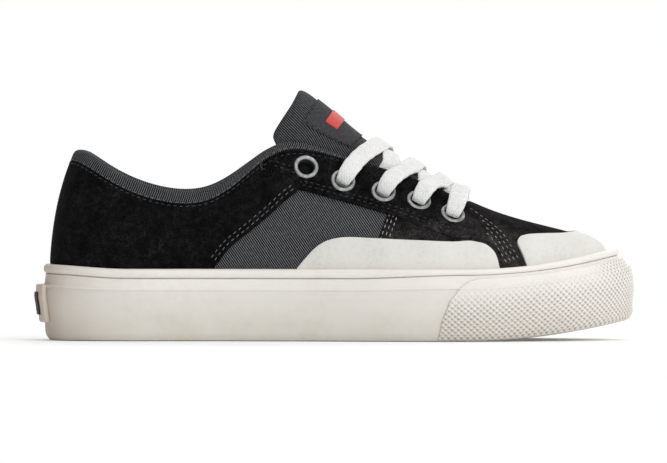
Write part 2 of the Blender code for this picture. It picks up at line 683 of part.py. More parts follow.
def wall_inset(share, x):
    """Inset of the side wall's outer face at a share of FOXING_HEIGHT."""
    side, toe = (profile_at(WALL_PROFILE, share, column) for column in (1, 2))
    return FOXING_THICKNESS * (side + (toe - side) * toe_share(x))


def at_outline(lap, inset, height):
    """A point at an inset from the outline and a height above the sprung underside.

    Above the board the side wall grows a little higher towards the toe.
    """
    plan = inset_outline(lap, inset)
    upper_share = np.clip((height - BOARD_HEIGHT) / (FOXING_HEIGHT - BOARD_HEIGHT), 0.0, 1.0)
    z = height + spring(plan[..., 0]) + TOE_RISE * upper_share * toe_share(plan[..., 0])
    return np.concatenate((plan, z[..., None]), -1)


def ring_faces(around, across, closed):
    """Quads of a grid of rings, closed across, and closed or capped around."""
    faces = []
    for i in range(around if closed else around - 1):
        j = (i + 1) % around
        for k in range(across):
            m = (k + 1) % across
            faces.append((i * across + k, i * across + m, j * across + m, j * across + k))
    if not closed:
        faces.append(tuple(range(across))[::-1])
        faces.append(tuple((around - 1) * across + k for k in range(across)))
    return faces


def build_foxing(look):
    """The sole's side wall: a ring with a step inside, on which the upper stands."""
    laps = np.arange(LAPS) / LAPS
    x = outline(laps)[:, 0]
    setback = TOE_SETBACK * toe_share(x)
    columns = [at_outline(laps, wall_inset(row[0], x), np.full(LAPS, row[0] * FOXING_HEIGHT))
               for row in WALL_PROFILE]
    inner = ((FOXING_THICKNESS, FOXING_HEIGHT, 1.0), (FOXING_THICKNESS, BOARD_HEIGHT, 1.0),
             (FOXING_FOOT, BOARD_HEIGHT, 1.0), (FOXING_FOOT, WALL_PROFILE[0][0] * FOXING_HEIGHT, 1.0))
    for inset, height, follow in inner:
        columns.append(at_outline(laps, inset + follow * setback, np.full(LAPS, height)))
    points = np.stack(columns, 1).reshape(-1, 3)
    return solid("foxing", points, [f[::-1] for f in ring_faces(LAPS, len(columns), True)], look)


def build_strip(look):
    """The narrow strip that runs round the top of the side wall."""
    laps = np.arange(LAPS) / LAPS
    x = outline(laps)[:, 0]
    setback = TOE_SETBACK * toe_share(x)
    base = FOXING_HEIGHT + GAP
    outer_inset = FOXING_THICKNESS - STRIP_THICKNESS
    rows = [(outer_inset + inset * STRIP_THICKNESS, base + height * STRIP_HEIGHT)
            for height, inset in STRIP_PROFILE]
    rows += [(FOXING_THICKNESS, base + STRIP_HEIGHT), (FOXING_THICKNESS, base)]
    columns = [at_outline(laps, inset + setback, np.full(LAPS, height)) for inset, height in rows]
    points = np.stack(columns, 1).reshape(-1, 3)
    return solid("foxing_strip", points, [f[::-1] for f in ring_faces(LAPS, len(columns), True)], look)


def build_bumper(look):
    """The toe bumper: a band over the front of the side wall, with rear edges that sweep forward."""
    count = 23
    shares = np.linspace(0.0, 1.0, count)
    outer, inner = [], []
    for height, end, toe in BUMPER_PROFILE:
        rear = np.interp(height, *zip(*BUMPER_REAR))
        laps = sole_lap(rear, True) + shares * (sole_lap(rear, False) - sole_lap(rear, True))
        x = outline(laps)[:, 0]
        face = wall_inset(height, x)
        proud = BUMPER_THICKNESS * (end + (toe - end) * toe_share(x))
        level = np.full(count, height * FOXING_HEIGHT)
        outer.append(at_outline(laps, face - 2 * GAP - proud, level))
        inner.append(at_outline(laps, face - 2 * GAP, level))
    columns = outer + inner[::-1]
    points = np.stack(columns, 1).reshape(-1, 3)
    return solid("toe_bumper", points, [f[::-1] for f in ring_faces(count, len(columns), False)], look)


def heel_plate(name, margin, lift, thickness, look):
    """A plate on the back of the side wall, margin smaller all round than the heel tab.

    The heel tab is four of the side wall's facets wide, and bridges the hollow below the strip.
    """
    laps = np.linspace(-2.0, 2.0, 9) / LAPS
    laps *= 1.0 - margin / (2.0 * GIRTH / LAPS)
    x = outline(laps)[:, 0]
    top = TAB_BASE + TAB_HEIGHT - margin
    levels = [TAB_BASE + margin] + [row[0] * FOXING_HEIGHT for row in WALL_PROFILE
                                    if TAB_BASE + 2 * margin < row[0] * FOXING_HEIGHT < top - 0.001
                                    and row[1] <= WALL_PROFILE[3][1]] + [top]
    widest = wall_inset(WALL_PROFILE[4][0], x)
    outer, inner = [], []
    for level in levels:
        share = level / FOXING_HEIGHT
        face = widest if share > WALL_PROFILE[4][0] else wall_inset(share, x)
        outer.append(at_outline(laps, face - lift - thickness, np.full(9, level)))
        inner.append(at_outline(laps, face - lift, np.full(9, level)))
    columns = outer + inner[::-1]
    points = np.stack(columns, 1).reshape(-1, 3)
    return solid(name, points, [f[::-1] for f in ring_faces(9, len(columns), False)], look)


def plate(name, inset, low, high, look):
    """A flat layer of the sole inside the outline, sprung at the toe."""
    laps = np.arange(0, LAPS, 1.5) / LAPS
    loop = inset_outline(laps, inset + TOE_SETBACK * toe_share(outline(laps)[:, 0]))
    front = SPRING_START + np.arange(1, 6) / 6 * (1.0 - SPRING_START)
    fill = [(HEEL_X + share * SOLE_LENGTH, y * BALL_WIDTH)
            for share in (0.15, 0.30, 0.45, 0.60, SPRING_START, *front) for y in (-0.25, 0.0, 0.25)]
    points, faces = triangulate([loop], np.array(fill), 0.006)
    lift = spring(points[:, 0])
    top = np.column_stack((points, high + lift))
    bottom = np.column_stack((points, low + lift))
    return solid(name, *two_faced(top, bottom, faces), look)


def cut_grooves(outsole):
    """Cuts the tread's cross grooves out of the outsole, under the heel and the forefoot."""
    points, faces = [], []
    centres = [share for start, end in ((0.10, 0.34), (0.52, 0.93))
               for share in np.arange(start, end, GROOVE_PITCH / SOLE_LENGTH)]
    for share in centres:
        x = HEEL_X + share * SOLE_LENGTH
        slope = (spring(x + 0.002) - spring(x - 0.002)) / 0.004
        tilt = Matrix.Rotation(-np.arctan(slope), 3, "Y")
        width = HEEL_WIDTH + (BALL_WIDTH - HEEL_WIDTH) * smooth_step(share, 0.20, 0.65)
        reach = 0.5 * width - FOXING_FOOT - 0.011 - 0.016 * smooth_step(share, 0.80, 0.95)
        first = len(points)
        for side_x in (-0.5, 0.5):
            for side_y in (-1.0, 1.0):
                for z in (-0.004, GROOVE_DEPTH):
                    corner = tilt @ Vector((side_x * GROOVE_WIDTH, 0.0, z))
                    points.append((x + corner.x, side_y * reach, corner.z + spring(x)))
        for quad in ((0, 1, 3, 2), (4, 6, 7, 5), (0, 4, 5, 1), (2, 3, 7, 6), (0, 2, 6, 4), (1, 5, 7, 3)):
            faces.append(tuple(first + i for i in quad))
    cutter = solid("groove_cutter", points, faces, outsole.data.materials[0])
    cutter.hide_render = True
    cutter.display_type = "WIRE"
    cut = outsole.modifiers.new("grooves", "BOOLEAN")
    cut.operation = "DIFFERENCE"
    cut.object = cutter


def tongue_rows():
    """For each row of the tongue: lateral wing, edge and shoulder, ridge, and the same medially."""
    rows = []
    for place, edge_x, rise, wing, ridge_x, ridge_z in TONGUE_ROWS:
        found = {}
        for side in (True, False):
            lap = edge_lap(edge_x, side)
            low = min(rise, rise_below_edge(lap, wing))
            shift = np.array(TONGUE_TOP_SHIFT) * (1.0, 1.0 if side else -1.0, 1.0) * (place == 1.0)
            found[side] = [lifted(lap, at, -float(wall(lap, at)) - TONGUE_CLEARANCE) + shift
                           for at in (rise, low)]
        ridge = np.array((HEEL_X + ridge_x * SOLE_LENGTH, 0.0, ridge_z * TONGUE_HEIGHT))
        ridge[1] = 0.5 * (found[True][0][1] + found[False][0][1])
        shoulders = [ridge + (found[side][0] - ridge) * TONGUE_SHOULDER for side in (True, False)]
        rows.append((found[True][1], found[True][0], shoulders[0], ridge,
                     shoulders[1], found[False][0], found[False][1]))
    return np.array(rows)


CROSS_KNOTS = np.array((-1.0, -0.62, -0.36, 0.0, 0.36, 0.62, 1.0))
TONGUE_KNOTS = [row[0] for row in TONGUE_ROWS]
TONGUE_ROW_POINTS = tongue_rows()


def tongue_surface(place, across):
    """Points of the tongue's upper face: place 0 at its front to 1 at its top, across -1 to 1."""
    rows = open_spline(TONGUE_KNOTS, TONGUE_ROW_POINTS.reshape(-1, 21))(place).reshape(-1, 7, 3)
    return np.array([open_spline(CROSS_KNOTS, row)(np.array([m]))[0] for row, m in zip(rows, across)])


def tongue_normal(place, across):
    """The tongue's outward normal."""
    step = 0.01
    along = (tongue_surface(np.minimum(place + step, 1.0), across)
             - tongue_surface(np.maximum(place - step, 0.0), across))
    over = (tongue_surface(place, np.minimum(across + step, 1.0))
            - tongue_surface(place, np.maximum(across - step, -1.0)))
    up = np.cross(over, along)
    up /= np.linalg.norm(up, axis=-1, keepdims=True)
    return up


def build_tongue(look):
    """The padded tongue, which passes under the throat and stands up behind the laces."""
    rows, columns = 12, 11
    place, across = np.meshgrid(np.linspace(0, 1, rows), np.linspace(-1, 1, columns), indexing="ij")
    outer = tongue_surface(place.ravel(), across.ravel())
    up = tongue_normal(place.ravel(), across.ravel())
    thick = TONGUE_THICKNESS * (0.45 + 0.55 * smooth_step(place.ravel(), 0.1, 0.7))
    thick *= 1.0 - 0.45 * smooth_step(np.abs(across.ravel()), 0.7, 1.0)
    inner = outer - up * thick[:, None]
    faces = []
    for i in range(rows - 1):
        for k in range(columns - 1):
            a, b = i * columns + k, i * columns + k + 1
            c, d = a + columns, b + columns
            faces += [(a, b, d), (a, d, c)]
    return solid("tongue", *two_faced(outer, inner, np.array(faces)), look)


def build_eyelet(lateral, index, look):
    """One eyelet: a domed flange on the eyestay, and a tube through the hole."""
    lap, rise = EYELETS[lateral][index]
    seat = OVERLAY_LIFT + OVERLAY_THICKNESS + EYELET_SEAT
    tube = EYELET_BORE + EYELET_TUBE
    profile = ((EYELET_BORE, -EYELET_DEPTH), (tube, -EYELET_DEPTH), (tube, 0.0),
               (EYELET_RADIUS, 0.0), (0.5 * (tube + EYELET_RADIUS), EYELET_FLANGE),
               (EYELET_BORE, 0.4 * EYELET_FLANGE))
    turns = np.arange(ROUND_SIDES) * 2 * np.pi / ROUND_SIDES
    points = [(radius * np.cos(turn), radius * np.sin(turn), height)
              for turn in turns for radius, height in profile]
    name = f"eyelet_{'lateral' if lateral else 'medial'}_{index + 1}"
    made = solid(name, points, [f[::-1] for f in ring_faces(ROUND_SIDES, len(profile), True)], look)
    up = Vector(normal(lap, rise))
    made.rotation_euler = up.to_track_quat("Z", "Y").to_euler()
    made.location = Vector(surface(lap, rise)) + up * seat
    return made


def lace_line(lateral, index, over, under):
    """Points and normals along one strand, from an eyelet over the tongue to the far side.

    It passes over this side's throat edge at over. It dips under the far edge at under, or runs
    on to the far eyelet where under is None.
    """
    side = -1.0 if lateral else 1.0
    half = 0.5 * LACE_THICKNESS
    on_stay = OVERLAY_LIFT + OVERLAY_THICKNESS + 3.4 * LACE_CLEARANCE + half
    on_eyelet = on_stay + EYELET_SEAT + EYELET_FLANGE + LACE_CLEARANCE

    def stop(place, at_rise, lift):
        return lifted(place, at_rise, lift), normal(place, min(at_rise, 0.99))

    near, far = edge_lap(over, lateral), edge_lap(over if under is None else under, not lateral)
    edge_xs = [-row[1] for row in TONGUE_ROWS[:6]]
    rests = (LACE_BAR_REST, LACE_BAR_REST) if under is None else (over, under)
    start, end = (np.interp(-share, edge_xs, TONGUE_KNOTS[:6]) for share in rests)
    stops = [stop(*EYELETS[lateral][index], on_eyelet), stop(near, 0.995, on_stay)]
    stack = 0.42 * LACE_THICKNESS * (1.0 if lateral else -1.0)
    for across, share in ((0.32, 0.34), (0.0, 0.5), (-0.32, 0.66)):
        place, m = np.array([start + (end - start) * share]), np.array([side * across])
        up = tongue_normal(place, m)[0]
        lift = LACE_CLEARANCE + 0.9 * LACE_THICKNESS
        lift += LACE_BAR_LIFT if under is None else stack if across == 0.0 else 0.0
        stops.append((tongue_surface(place, m)[0] + up * lift, up))
    stops.append(stop(far, 0.995, on_stay + 2 * LACE_CLEARANCE))
    if under is None:
        stops.append(stop(*EYELETS[not lateral][index], on_eyelet))
    points, ups = (np.array([each[i] for each in stops]) for i in (0, 1))
    lengths = np.append(0.0, np.cumsum(np.linalg.norm(np.diff(points, axis=0), axis=1)))
    at = np.linspace(0.0, lengths[-1], 11)
    return open_spline(lengths, points)(at), open_spline(lengths, ups)(at)


def ribbon(name, points, ups, look):
    """A flat lace along points, with its faces turned to the normals."""
    along = np.gradient(points, axis=0)
    along /= np.linalg.norm(along, axis=1, keepdims=True)
    across = np.cross(along, ups)
    across /= np.linalg.norm(across, axis=1, keepdims=True)
    up = np.cross(across, along)
    section = ((-0.5, 0.0), (-0.36, -0.5), (0.36, -0.5), (0.5, 0.0), (0.36, 0.5), (-0.36, 0.5))
    rings = np.stack([points + across * (w * LACE_WIDTH) + up * (t * LACE_THICKNESS)
                      for w, t in section], 1)
    faces = [f[::-1] for f in ring_faces(len(points), len(section), False)]
    return solid(name, rings.reshape(-1, 3), faces, look)


def build_laces(look):
    """The lace strands that show: a bar at the front and three crossings behind it."""
    for order, (over, under) in enumerate(LACE_CROSSINGS, 1):
        top = ribbon(f"lace_crossing_{order}", *lace_line(True, order, over, under), look)
        low = ribbon(f"lace_under_{order}", *lace_line(False, order, over, under), look)
        low.hide_render = True
        low.display_type = "WIRE"
        union = top.modifiers.new("crossing", "BOOLEAN")
        union.operation = "UNION"
        union.object = low
    ribbon("lace_bar", *lace_line(True, len(EYELET_PLACES) - 1, LACE_BAR, None), look)


def main():
    for old in list(bpy.data.objects):
        bpy.data.objects.remove(old)
    suede = material("black_suede", (0.012, 0.012, 0.013), 0.95)
    canvas = material("charcoal_canvas", (0.045, 0.046, 0.050), 0.9)
    rubber = material("off_white_rubber", (0.78, 0.75, 0.69), 0.6)
    guard = material("pale_guard", (0.82, 0.81, 0.77), 0.7)
    foam = material("foam_insole", (0.05, 0.05, 0.05), 0.95)
    cotton = material("white_lace", (0.88, 0.87, 0.86), 0.9)
    metal = material("eyelet_metal", (0.62, 0.63, 0.64), 0.35, 1.0)
    dark = material("dark_label", (0.07, 0.065, 0.06), 0.7)

    inner_sole = FOXING_FOOT + 2 * GAP
    outsole = plate("outsole", inner_sole, 0.0, OUTSOLE_THICKNESS, rubber)
    cut_grooves(outsole)
    plate("midsole", inner_sole, OUTSOLE_THICKNESS + GAP, BOARD_HEIGHT, rubber)
    plate("insole", FOXING_THICKNESS + UPPER_TUCK + TOE_TUCK + UPPER_WALL + 5 * GAP, BOARD_HEIGHT + GAP,
          BOARD_HEIGHT + GAP + INSOLE_THICKNESS, foam)
    build_foxing(rubber)
    build_strip(rubber)
    build_bumper(rubber)
    heel_plate("heel_tab", 0.0, GAP, TAB_THICKNESS, rubber)
    heel_plate("heel_label", LABEL_MARGIN, 2 * GAP + TAB_THICKNESS, LABEL_THICKNESS, dark)
    build_upper(canvas)
    build_quarter(suede)
    build_binding(canvas)
    build_toe_cap(guard)
    for lateral in (True, False):
        build_stay(lateral, suede)
        build_guard(lateral, guard)
        for index in range(len(EYELET_PLACES)):
            build_eyelet(lateral, index, metal)
    build_tongue(canvas)
    build_laces(cotton)


if __name__ == "__main__":
    main()
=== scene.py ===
"""The looks of a low lace-up skateboarding shoe for the right foot, round its CAD part.

Metres, +Z up. The toe points to +X and the outer (lateral) side to -Y. The upper is a set of
ribs round the shoe: a lap goes from 0 at the back of the heel along the lateral side to the toe
and back along the medial side to 1, and a rise goes from 0 at the feather edge to 1 at the top.
"""

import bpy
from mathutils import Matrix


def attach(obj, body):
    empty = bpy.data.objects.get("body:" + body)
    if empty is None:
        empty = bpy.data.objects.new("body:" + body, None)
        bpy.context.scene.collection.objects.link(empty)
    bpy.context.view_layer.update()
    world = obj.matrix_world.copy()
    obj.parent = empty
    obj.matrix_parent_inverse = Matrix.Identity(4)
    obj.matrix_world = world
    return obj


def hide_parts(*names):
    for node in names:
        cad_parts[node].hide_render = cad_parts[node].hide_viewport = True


bl_info = {
    "name": "Skateboarding shoe",
    "version": (1, 0, 0),
    "blender": (4, 2, 0),
    "location": "3D View > Sidebar > Shoe",
    "description": "Models the panels, stitches, laces and rubber of a low skateboarding shoe",
    "category": "Object",
}

import bpy
import numpy as np
from bpy.props import FloatProperty, FloatVectorProperty, PointerProperty
from mathutils import Matrix, Vector
from mathutils.geometry import delaunay_2d_cdt

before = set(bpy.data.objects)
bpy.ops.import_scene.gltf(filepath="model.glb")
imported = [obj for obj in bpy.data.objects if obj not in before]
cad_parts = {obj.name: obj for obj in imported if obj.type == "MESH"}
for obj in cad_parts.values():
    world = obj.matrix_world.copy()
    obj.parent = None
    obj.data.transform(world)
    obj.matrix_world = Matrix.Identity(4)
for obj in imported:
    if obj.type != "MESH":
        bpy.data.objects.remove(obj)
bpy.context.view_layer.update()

# Main sizes of the shoe
SOLE_LENGTH = 0.2940
BALL_WIDTH = 0.1090
HEEL_WIDTH = 0.0790
HEEL_COLLAR_HEIGHT = 0.0945
COLLAR_DIP_HEIGHT = 0.0745
INSTEP_HEIGHT = 0.0980
VAMP_HEIGHT = 0.0700
TONGUE_HEIGHT = 0.1245
TOE_SPRING = 0.0098
GAP = 0.0003

# Sizes of the sole
BOARD_HEIGHT = 0.0175
OUTSOLE_THICKNESS = 0.0055
INSOLE_THICKNESS = 0.0045
FOXING_HEIGHT = 0.0312
FOXING_THICKNESS = 0.0045
FOXING_FOOT = 0.0090
STRIP_HEIGHT = 0.0048
STRIP_THICKNESS = 0.0032
TOE_SETBACK = 0.0036
TOE_RISE = 0.0014
SPRING_START = 0.725
BUMPER_THICKNESS = 0.0018
HEEL_LIFT = 0.0021  # rise of the wall's top and the strip at the back of the heel
TOE_LIFT = 0.0011  # how much narrower the strip gets at the toe
TAB_THICKNESS = 0.0024
TAB_HEIGHT = 0.0190
TAB_BASE = 0.0090
LABEL_THICKNESS = 0.0006
LABEL_MARGIN = 0.0038
HEEL_TAB_HALF = 0.0240  # half the heel tab's width, as a share of the shoe's girth
GROOVE_WIDTH = 0.0026
GROOVE_DEPTH = 0.0022
GROOVE_PITCH = 0.0115

# Sizes of the upper
UPPER_WALL = 0.0022
UPPER_TUCK = 0.0009
TOE_TUCK = 0.0002
STRIP_TUCK = 0.0022  # how far the panels reach down inside the strip
COLLAR_PAD = 0.0036
BINDING_WIDTH = 0.0062
TONGUE_THICKNESS = 0.0042
TONGUE_CLEARANCE = 0.0013
HOLE_SIDES = 32
EYELET_RADIUS = 0.0062
EYELET_BORE = 0.0041
EYELET_TUBE = 0.0005
EYELET_FLANGE = 0.0009
EYELET_DEPTH = 0.0042
SMALL = 1e-4

HEEL_X = (TAB_THICKNESS + LABEL_THICKNESS + 2 * GAP - SOLE_LENGTH - BUMPER_THICKNESS) / 2
LEVELS = {"heel": HEEL_COLLAR_HEIGHT, "dip": COLLAR_DIP_HEIGHT,
          "instep": INSTEP_HEIGHT, "vamp": VAMP_HEIGHT}

# One row for each station. out_x and out_y place the sole's outline, as shares of its length
# and of the width there. edge_x, edge_y and edge_z place the collar or throat edge, as shares
# of sole length, ball width and the named level. The handles bend the rib between them: the
# outward ones are shares of ball width, the upward and downward ones of the rib's own rise.
STATIONS = (
    # name            out_x  out_y   edge_x  edge_y  level     edge_z low_out low_up high_out high_down
    ("heel_back",     0.000, 0.000,  0.062,  0.000,  "heel",   1.000, 0.012, 0.40, 0.085, 0.26),
    ("heel_corner_l", 0.022, -0.280, 0.078, -0.140,  "heel",   0.986, 0.012, 0.40, 0.070, 0.26),
    ("heel_side_l",   0.085, -0.450, 0.118, -0.225,  "heel",   0.905, 0.012, 0.42, 0.040, 0.28),
    ("collar_l",      0.180, -0.500, 0.184, -0.272,  "dip",    1.030, 0.010, 0.45, 0.035, 0.30),
    ("collar_dip_l",  0.285, -0.480, 0.270, -0.295,  "dip",    1.000, 0.008, 0.45, 0.038, 0.30),
    ("ankle_l",       0.395, -0.465, 0.343, -0.300,  "instep", 0.880, 0.009, 0.45, 0.055, 0.30),
    ("quarter_l",     0.505, -0.470, 0.420, -0.265,  "instep", 1.003, 0.014, 0.42, 0.095, 0.26),
    ("waist_l",       0.605, -0.492, 0.510, -0.225,  "instep", 0.935, 0.018, 0.42, 0.130, 0.24),
    ("ball_l",        0.690, -0.500, 0.582, -0.188,  "instep", 0.868, 0.020, 0.42, 0.170, 0.20),
    ("little_toe_l",  0.775, -0.470, 0.643, -0.145,  "instep", 0.800, 0.024, 0.46, 0.210, 0.19),
    ("toe_side_l",    0.865, -0.385, 0.690, -0.100,  "vamp",   1.040, 0.034, 0.54, 0.270, 0.24),
    ("toe_corner_l",  0.942, -0.245, 0.714, -0.058,  "vamp",   1.006, 0.046, 0.66, 0.330, 0.36),
    ("toe_front_l",   0.984, -0.095, 0.7215, -0.020, "vamp",   1.000, 0.056, 0.74, 0.370, 0.44),
    ("toe_tip",       1.000, 0.045,  0.7225, 0.016,  "vamp",   1.000, 0.060, 0.76, 0.375, 0.46),
    ("toe_front_m",   0.988, 0.185,  0.718,  0.048,  "vamp",   1.002, 0.056, 0.74, 0.360, 0.44),
    ("toe_corner_m",  0.950, 0.310,  0.702,  0.082,  "vamp",   1.012, 0.046, 0.66, 0.320, 0.36),
    ("toe_side_m",    0.885, 0.420,  0.672,  0.118,  "vamp",   1.065, 0.036, 0.56, 0.270, 0.24),
    ("big_toe_m",     0.800, 0.482,  0.625,  0.155,  "instep", 0.822, 0.026, 0.48, 0.215, 0.19),
    ("ball_m",        0.715, 0.500,  0.572,  0.190,  "instep", 0.878, 0.020, 0.44, 0.175, 0.20),
    ("joint_m",       0.620, 0.475,  0.505,  0.224,  "instep", 0.940, 0.016, 0.44, 0.135, 0.24),
    ("waist_m",       0.515, 0.425,  0.422,  0.262,  "instep", 1.003, 0.006, 0.44, 0.095, 0.26),
    ("arch_m",        0.410, 0.405,  0.350,  0.292,  "instep", 0.895, 0.001, 0.45, 0.055, 0.30),
    ("collar_dip_m",  0.300, 0.430,  0.276,  0.290,  "dip",    1.012, 0.000, 0.45, 0.038, 0.30),
    ("collar_m",      0.190, 0.480,  0.190,  0.270,  "dip",    1.030, 0.004, 0.45, 0.035, 0.30),
    ("heel_side_m",   0.090, 0.448,  0.120,  0.225,  "heel",   0.905, 0.012, 0.42, 0.040, 0.28),
    ("heel_corner_m", 0.022, 0.280,  0.078,  0.140,  "heel",   0.986, 0.012, 0.40, 0.070, 0.26),
)
STEEP_HANDLE = 0.12  # below this outward handle a rib ends upright, and leans along the outline's normal

# Profile of the sole's side wall: height as a share of FOXING_HEIGHT, and inset from the outline
# along the sides and at the toe, as shares of FOXING_THICKNESS.
WALL_PROFILE = (
    # height side   toe
    (0.013, 0.93, 0.85),
    (0.064, 0.67, 0.60),
    (0.290, 0.40, 0.22),
    (0.545, 0.16, 0.10),
    (0.755, 0.00, 0.32),
    (0.810, 0.06, 0.46),
    (0.840, 0.29, 0.76),
    (0.915, 0.44, 1.06),
    (1.000, 0.42, 1.16),
)
# The toe bumper's outer face: height as above, and how far its thickness stands proud of the
# wall at its rear ends and at the toe, as shares of BUMPER_THICKNESS.
BUMPER_PROFILE = (
    # height end   toe
    (0.018, 0.55, 0.70),
    (0.110, 0.80, 1.05),
    (0.385, 0.85, 1.00),
    (0.580, 0.85, 0.95),
    (0.770, 0.85, 1.00),
    (0.885, 1.05, 1.45),
    (0.965, 0.85, 1.10),
)
# The bumper's rear edge: height as above, and place along the sole as a share of its length.
BUMPER_REAR = ((0.0, 0.673), (0.32, 0.680), (0.63, 0.693), (0.82, 0.710), (0.91, 0.725), (0.97, 0.750))
# The wall's ledge and the lip at its top: where each starts and ends, as shares of
# FOXING_HEIGHT, and its depth as a share of FOXING_THICKNESS.
LEDGE_EDGE, LEDGE_FACE, LEDGE_DEPTH = (0.798, 0.810), (0.815, 0.870), 0.11
LIP, LIP_DEPTH = (0.925, 0.975), 0.07
# Where the strip narrows towards the toe, widens a little again and rises at the tip, as shares
# of sole length.
STRIP_NARROWS, STRIP_WIDENS, STRIP_TIP = (0.52, 0.72), (0.80, 0.92), (0.95, 0.995)

# Outlines of the overlays in the side view: place along the sole as a share of SOLE_LENGTH, and
# height as a share of INSTEP_HEIGHT. Each runs from the strip upwards and round to the strip.
QUARTER_FRONT = ((0.295, 0.375), (0.324, 0.479), (0.362, 0.573), (0.400, 0.668), (0.436, 0.758),
                 (0.427, 0.812), (0.398, 0.846), (0.374, 0.868))
GUARD = ((0.436, 0.373), (0.453, 0.434), (0.468, 0.478), (0.483, 0.509), (0.506, 0.527),
         (0.562, 0.524), (0.640, 0.511), (0.700, 0.504), (0.735, 0.503), (0.756, 0.485),
         (0.768, 0.452), (0.774, 0.417), (0.777, 0.385))
STAY_LOWER = ((0.782, 0.385), (0.780, 0.423), (0.773, 0.464), (0.759, 0.499), (0.735, 0.517),
              (0.702, 0.519), (0.657, 0.569), (0.605, 0.628), (0.540, 0.685), (0.485, 0.732),
              (0.438, 0.768), (0.428, 0.822), (0.400, 0.858), (0.378, 0.880))
STAY_FRONT = ((0.729, 0.669), (0.754, 0.622), (0.782, 0.558), (0.802, 0.482), (0.819, 0.394))
TOE_CAP = ((0.821, 0.394), (0.815, 0.441), (0.807, 0.497), (0.811, 0.518), (0.821, 0.526),
           (0.835, 0.530), (0.858, 0.531), (0.882, 0.531))
TOE_CAP_CENTRE = 0.907
EYELET_PLACES = ((0.450, 0.879), (0.513, 0.809), (0.581, 0.751), (0.641, 0.707), (0.698, 0.637))
BINDING_END = 0.520

# The tongue, front to top: place along its length, where its sides meet the throat edge as a
# share of sole length, their rise on the ribs, depth of its wings below the throat edge, and the
# ridge's place and height as shares of sole length and tongue height.
TONGUE_ROWS = (
    # place edge_x  rise   wing    ridge_x ridge_z
    (0.00, 0.718,  0.930, 0.0030, 0.756,  0.500),
    (0.11, 0.702,  0.990, 0.0050, 0.722,  0.535),
    (0.28, 0.655,  1.000, 0.0110, 0.668,  0.630),
    (0.49, 0.582,  1.000, 0.0180, 0.604,  0.727),
    (0.68, 0.510,  1.000, 0.0230, 0.546,  0.815),
    (0.92, 0.420,  1.000, 0.0200, 0.470,  0.962),
    (1.00, 0.420,  1.000, 0.0100, 0.4456, 1.000),
)
TONGUE_SHOULDER = (0.30, 0.74, 0.30)
TONGUE_TOP_SHIFT = (-0.0055, 0.0045, 0.0072)

# Where each crossing's strands pass over one throat edge and under the other, where its lateral
# and its medial strand pass the ridge, and where the bar passes over both edges and rests over
# the tongue, as shares of sole length.
LACE_CROSSINGS = ((0.536, 0.587, 0.577, 0.587), (0.609, 0.650, 0.633, 0.646),
                  (0.664, 0.700, 0.677, 0.686))
LACE_BAR = 0.708
LACE_BAR_REST = 0.708
LACE_BAR_LIFT = 0.0024
# Extra slack of each crossing over the tongue, from the top one down. The bar has its own lift.
LACE_SLACK = (0.0, 0.0006, 0.0020, 0.0)
LACE_RING = 24  # points round a lace's section
LACE_STEP = 0.0006
# The seam between the canvas side and the vamp, as the outlines above.
VAMP_SEAM = ((0.560, 0.380), (0.566, 0.450), (0.574, 0.526), (0.586, 0.633), (0.600, 0.760),
             (0.606, 0.835))
# How far the tongue's and the binding's cloths are turned from the side's, in degrees.
TONGUE_GRAIN = 36.8
BINDING_GRAIN = 53.0
# The tongue's sewn patch and its label: from and to along the tongue, and from and to across it.
PATCH = (0.683, 0.922, -0.43, 0.43)
PATCH_STITCH_INSET = (0.005, 0.012)
TAG = (0.782, 0.842, -0.33, 0.33)
# How far the rows of stitches lie inside an edge, and for the eyestay's front where each starts.
QUARTER_ROWS = (0.0021, 0.0043)
STAY_ROWS = (0.0026, 0.0048)
STAY_FRONT_ROWS = ((0.0021, 0.0), (0.0043, 0.22), (0.0065, 0.30), (0.0087, 0.38))
STAY_THROAT_ROW = 0.0020
VAMP_ROWS = (0.0012, 0.0032, 0.0052)
SIDE_WORDS = ((True, "lateral"), (False, "medial"))
# Where the sole has cross grooves, and how fine the meshes are: points round the sole and the
# upper, columns and rows of the bumper, and columns and rows of each face of the binding.
GROOVED = ((0.10, 0.34), (0.52, 0.93))
SOLE_COUNT = 480
SHELL_COUNT = 400
BUMPER_COUNTS = (640, 104)
BINDING_COUNTS = (330, 34)
TAB_COUNTS = (33, 17)
# How far the bumper's rear and upper edges are rounded.
BUMPER_ROUND_END, BUMPER_ROUND_TOP = 0.0007, 0.0009
# Where the lace's stops lie over the tongue, from this side's edge (1) over the ridge (0) to the
# far one (-1), and where the throat edge is.
LACE_ACROSS = (0.20, 0.0, -0.20, -0.42)
LACE_EDGE = 0.62
# The lamps: place, size in metres and power in watts. They point at the middle of the shoe.
SOFTBOXES = {"top softbox": ((0.35, -0.55, 1.9), 1.2, 3.5),
             "front softbox": ((0.9, -2.0, 1.0), 0.9, 10.0),
             "back softbox": ((0.1, 1.7, 1.0), 0.8, 9.0)}
LIGHT_AIM = (0.0, 0.0, 0.05)
SENSOR_WIDTH = 36.0  # of the camera, in millimetres
VIEW_WIDTH = 0.3335  # what the camera's frame spans at the shoe
VIEW_MIDDLE = (0.0001, 0.0, 0.0542)


def smooth_step(value, start, end):
    """0 before start, 1 after end, and a smooth ramp between them."""
    share = np.clip((np.asarray(value, float) - start) / (end - start), 0.0, 1.0)
    return share * share * (3.0 - 2.0 * share)


def unit(vectors):
    """Vectors brought to length 1."""
    return vectors / np.linalg.norm(vectors, axis=-1, keepdims=True)


def lengths_along(points):
    """Distance along a line to each of its points."""
    return np.append(0.0, np.cumsum(np.linalg.norm(np.diff(points, axis=0), axis=1)))


def read_at(at, lengths, rows):
    """Rows that belong to a line's points, read at distances along it."""
    return np.stack([np.interp(at, lengths, column) for column in rows.T], -1)


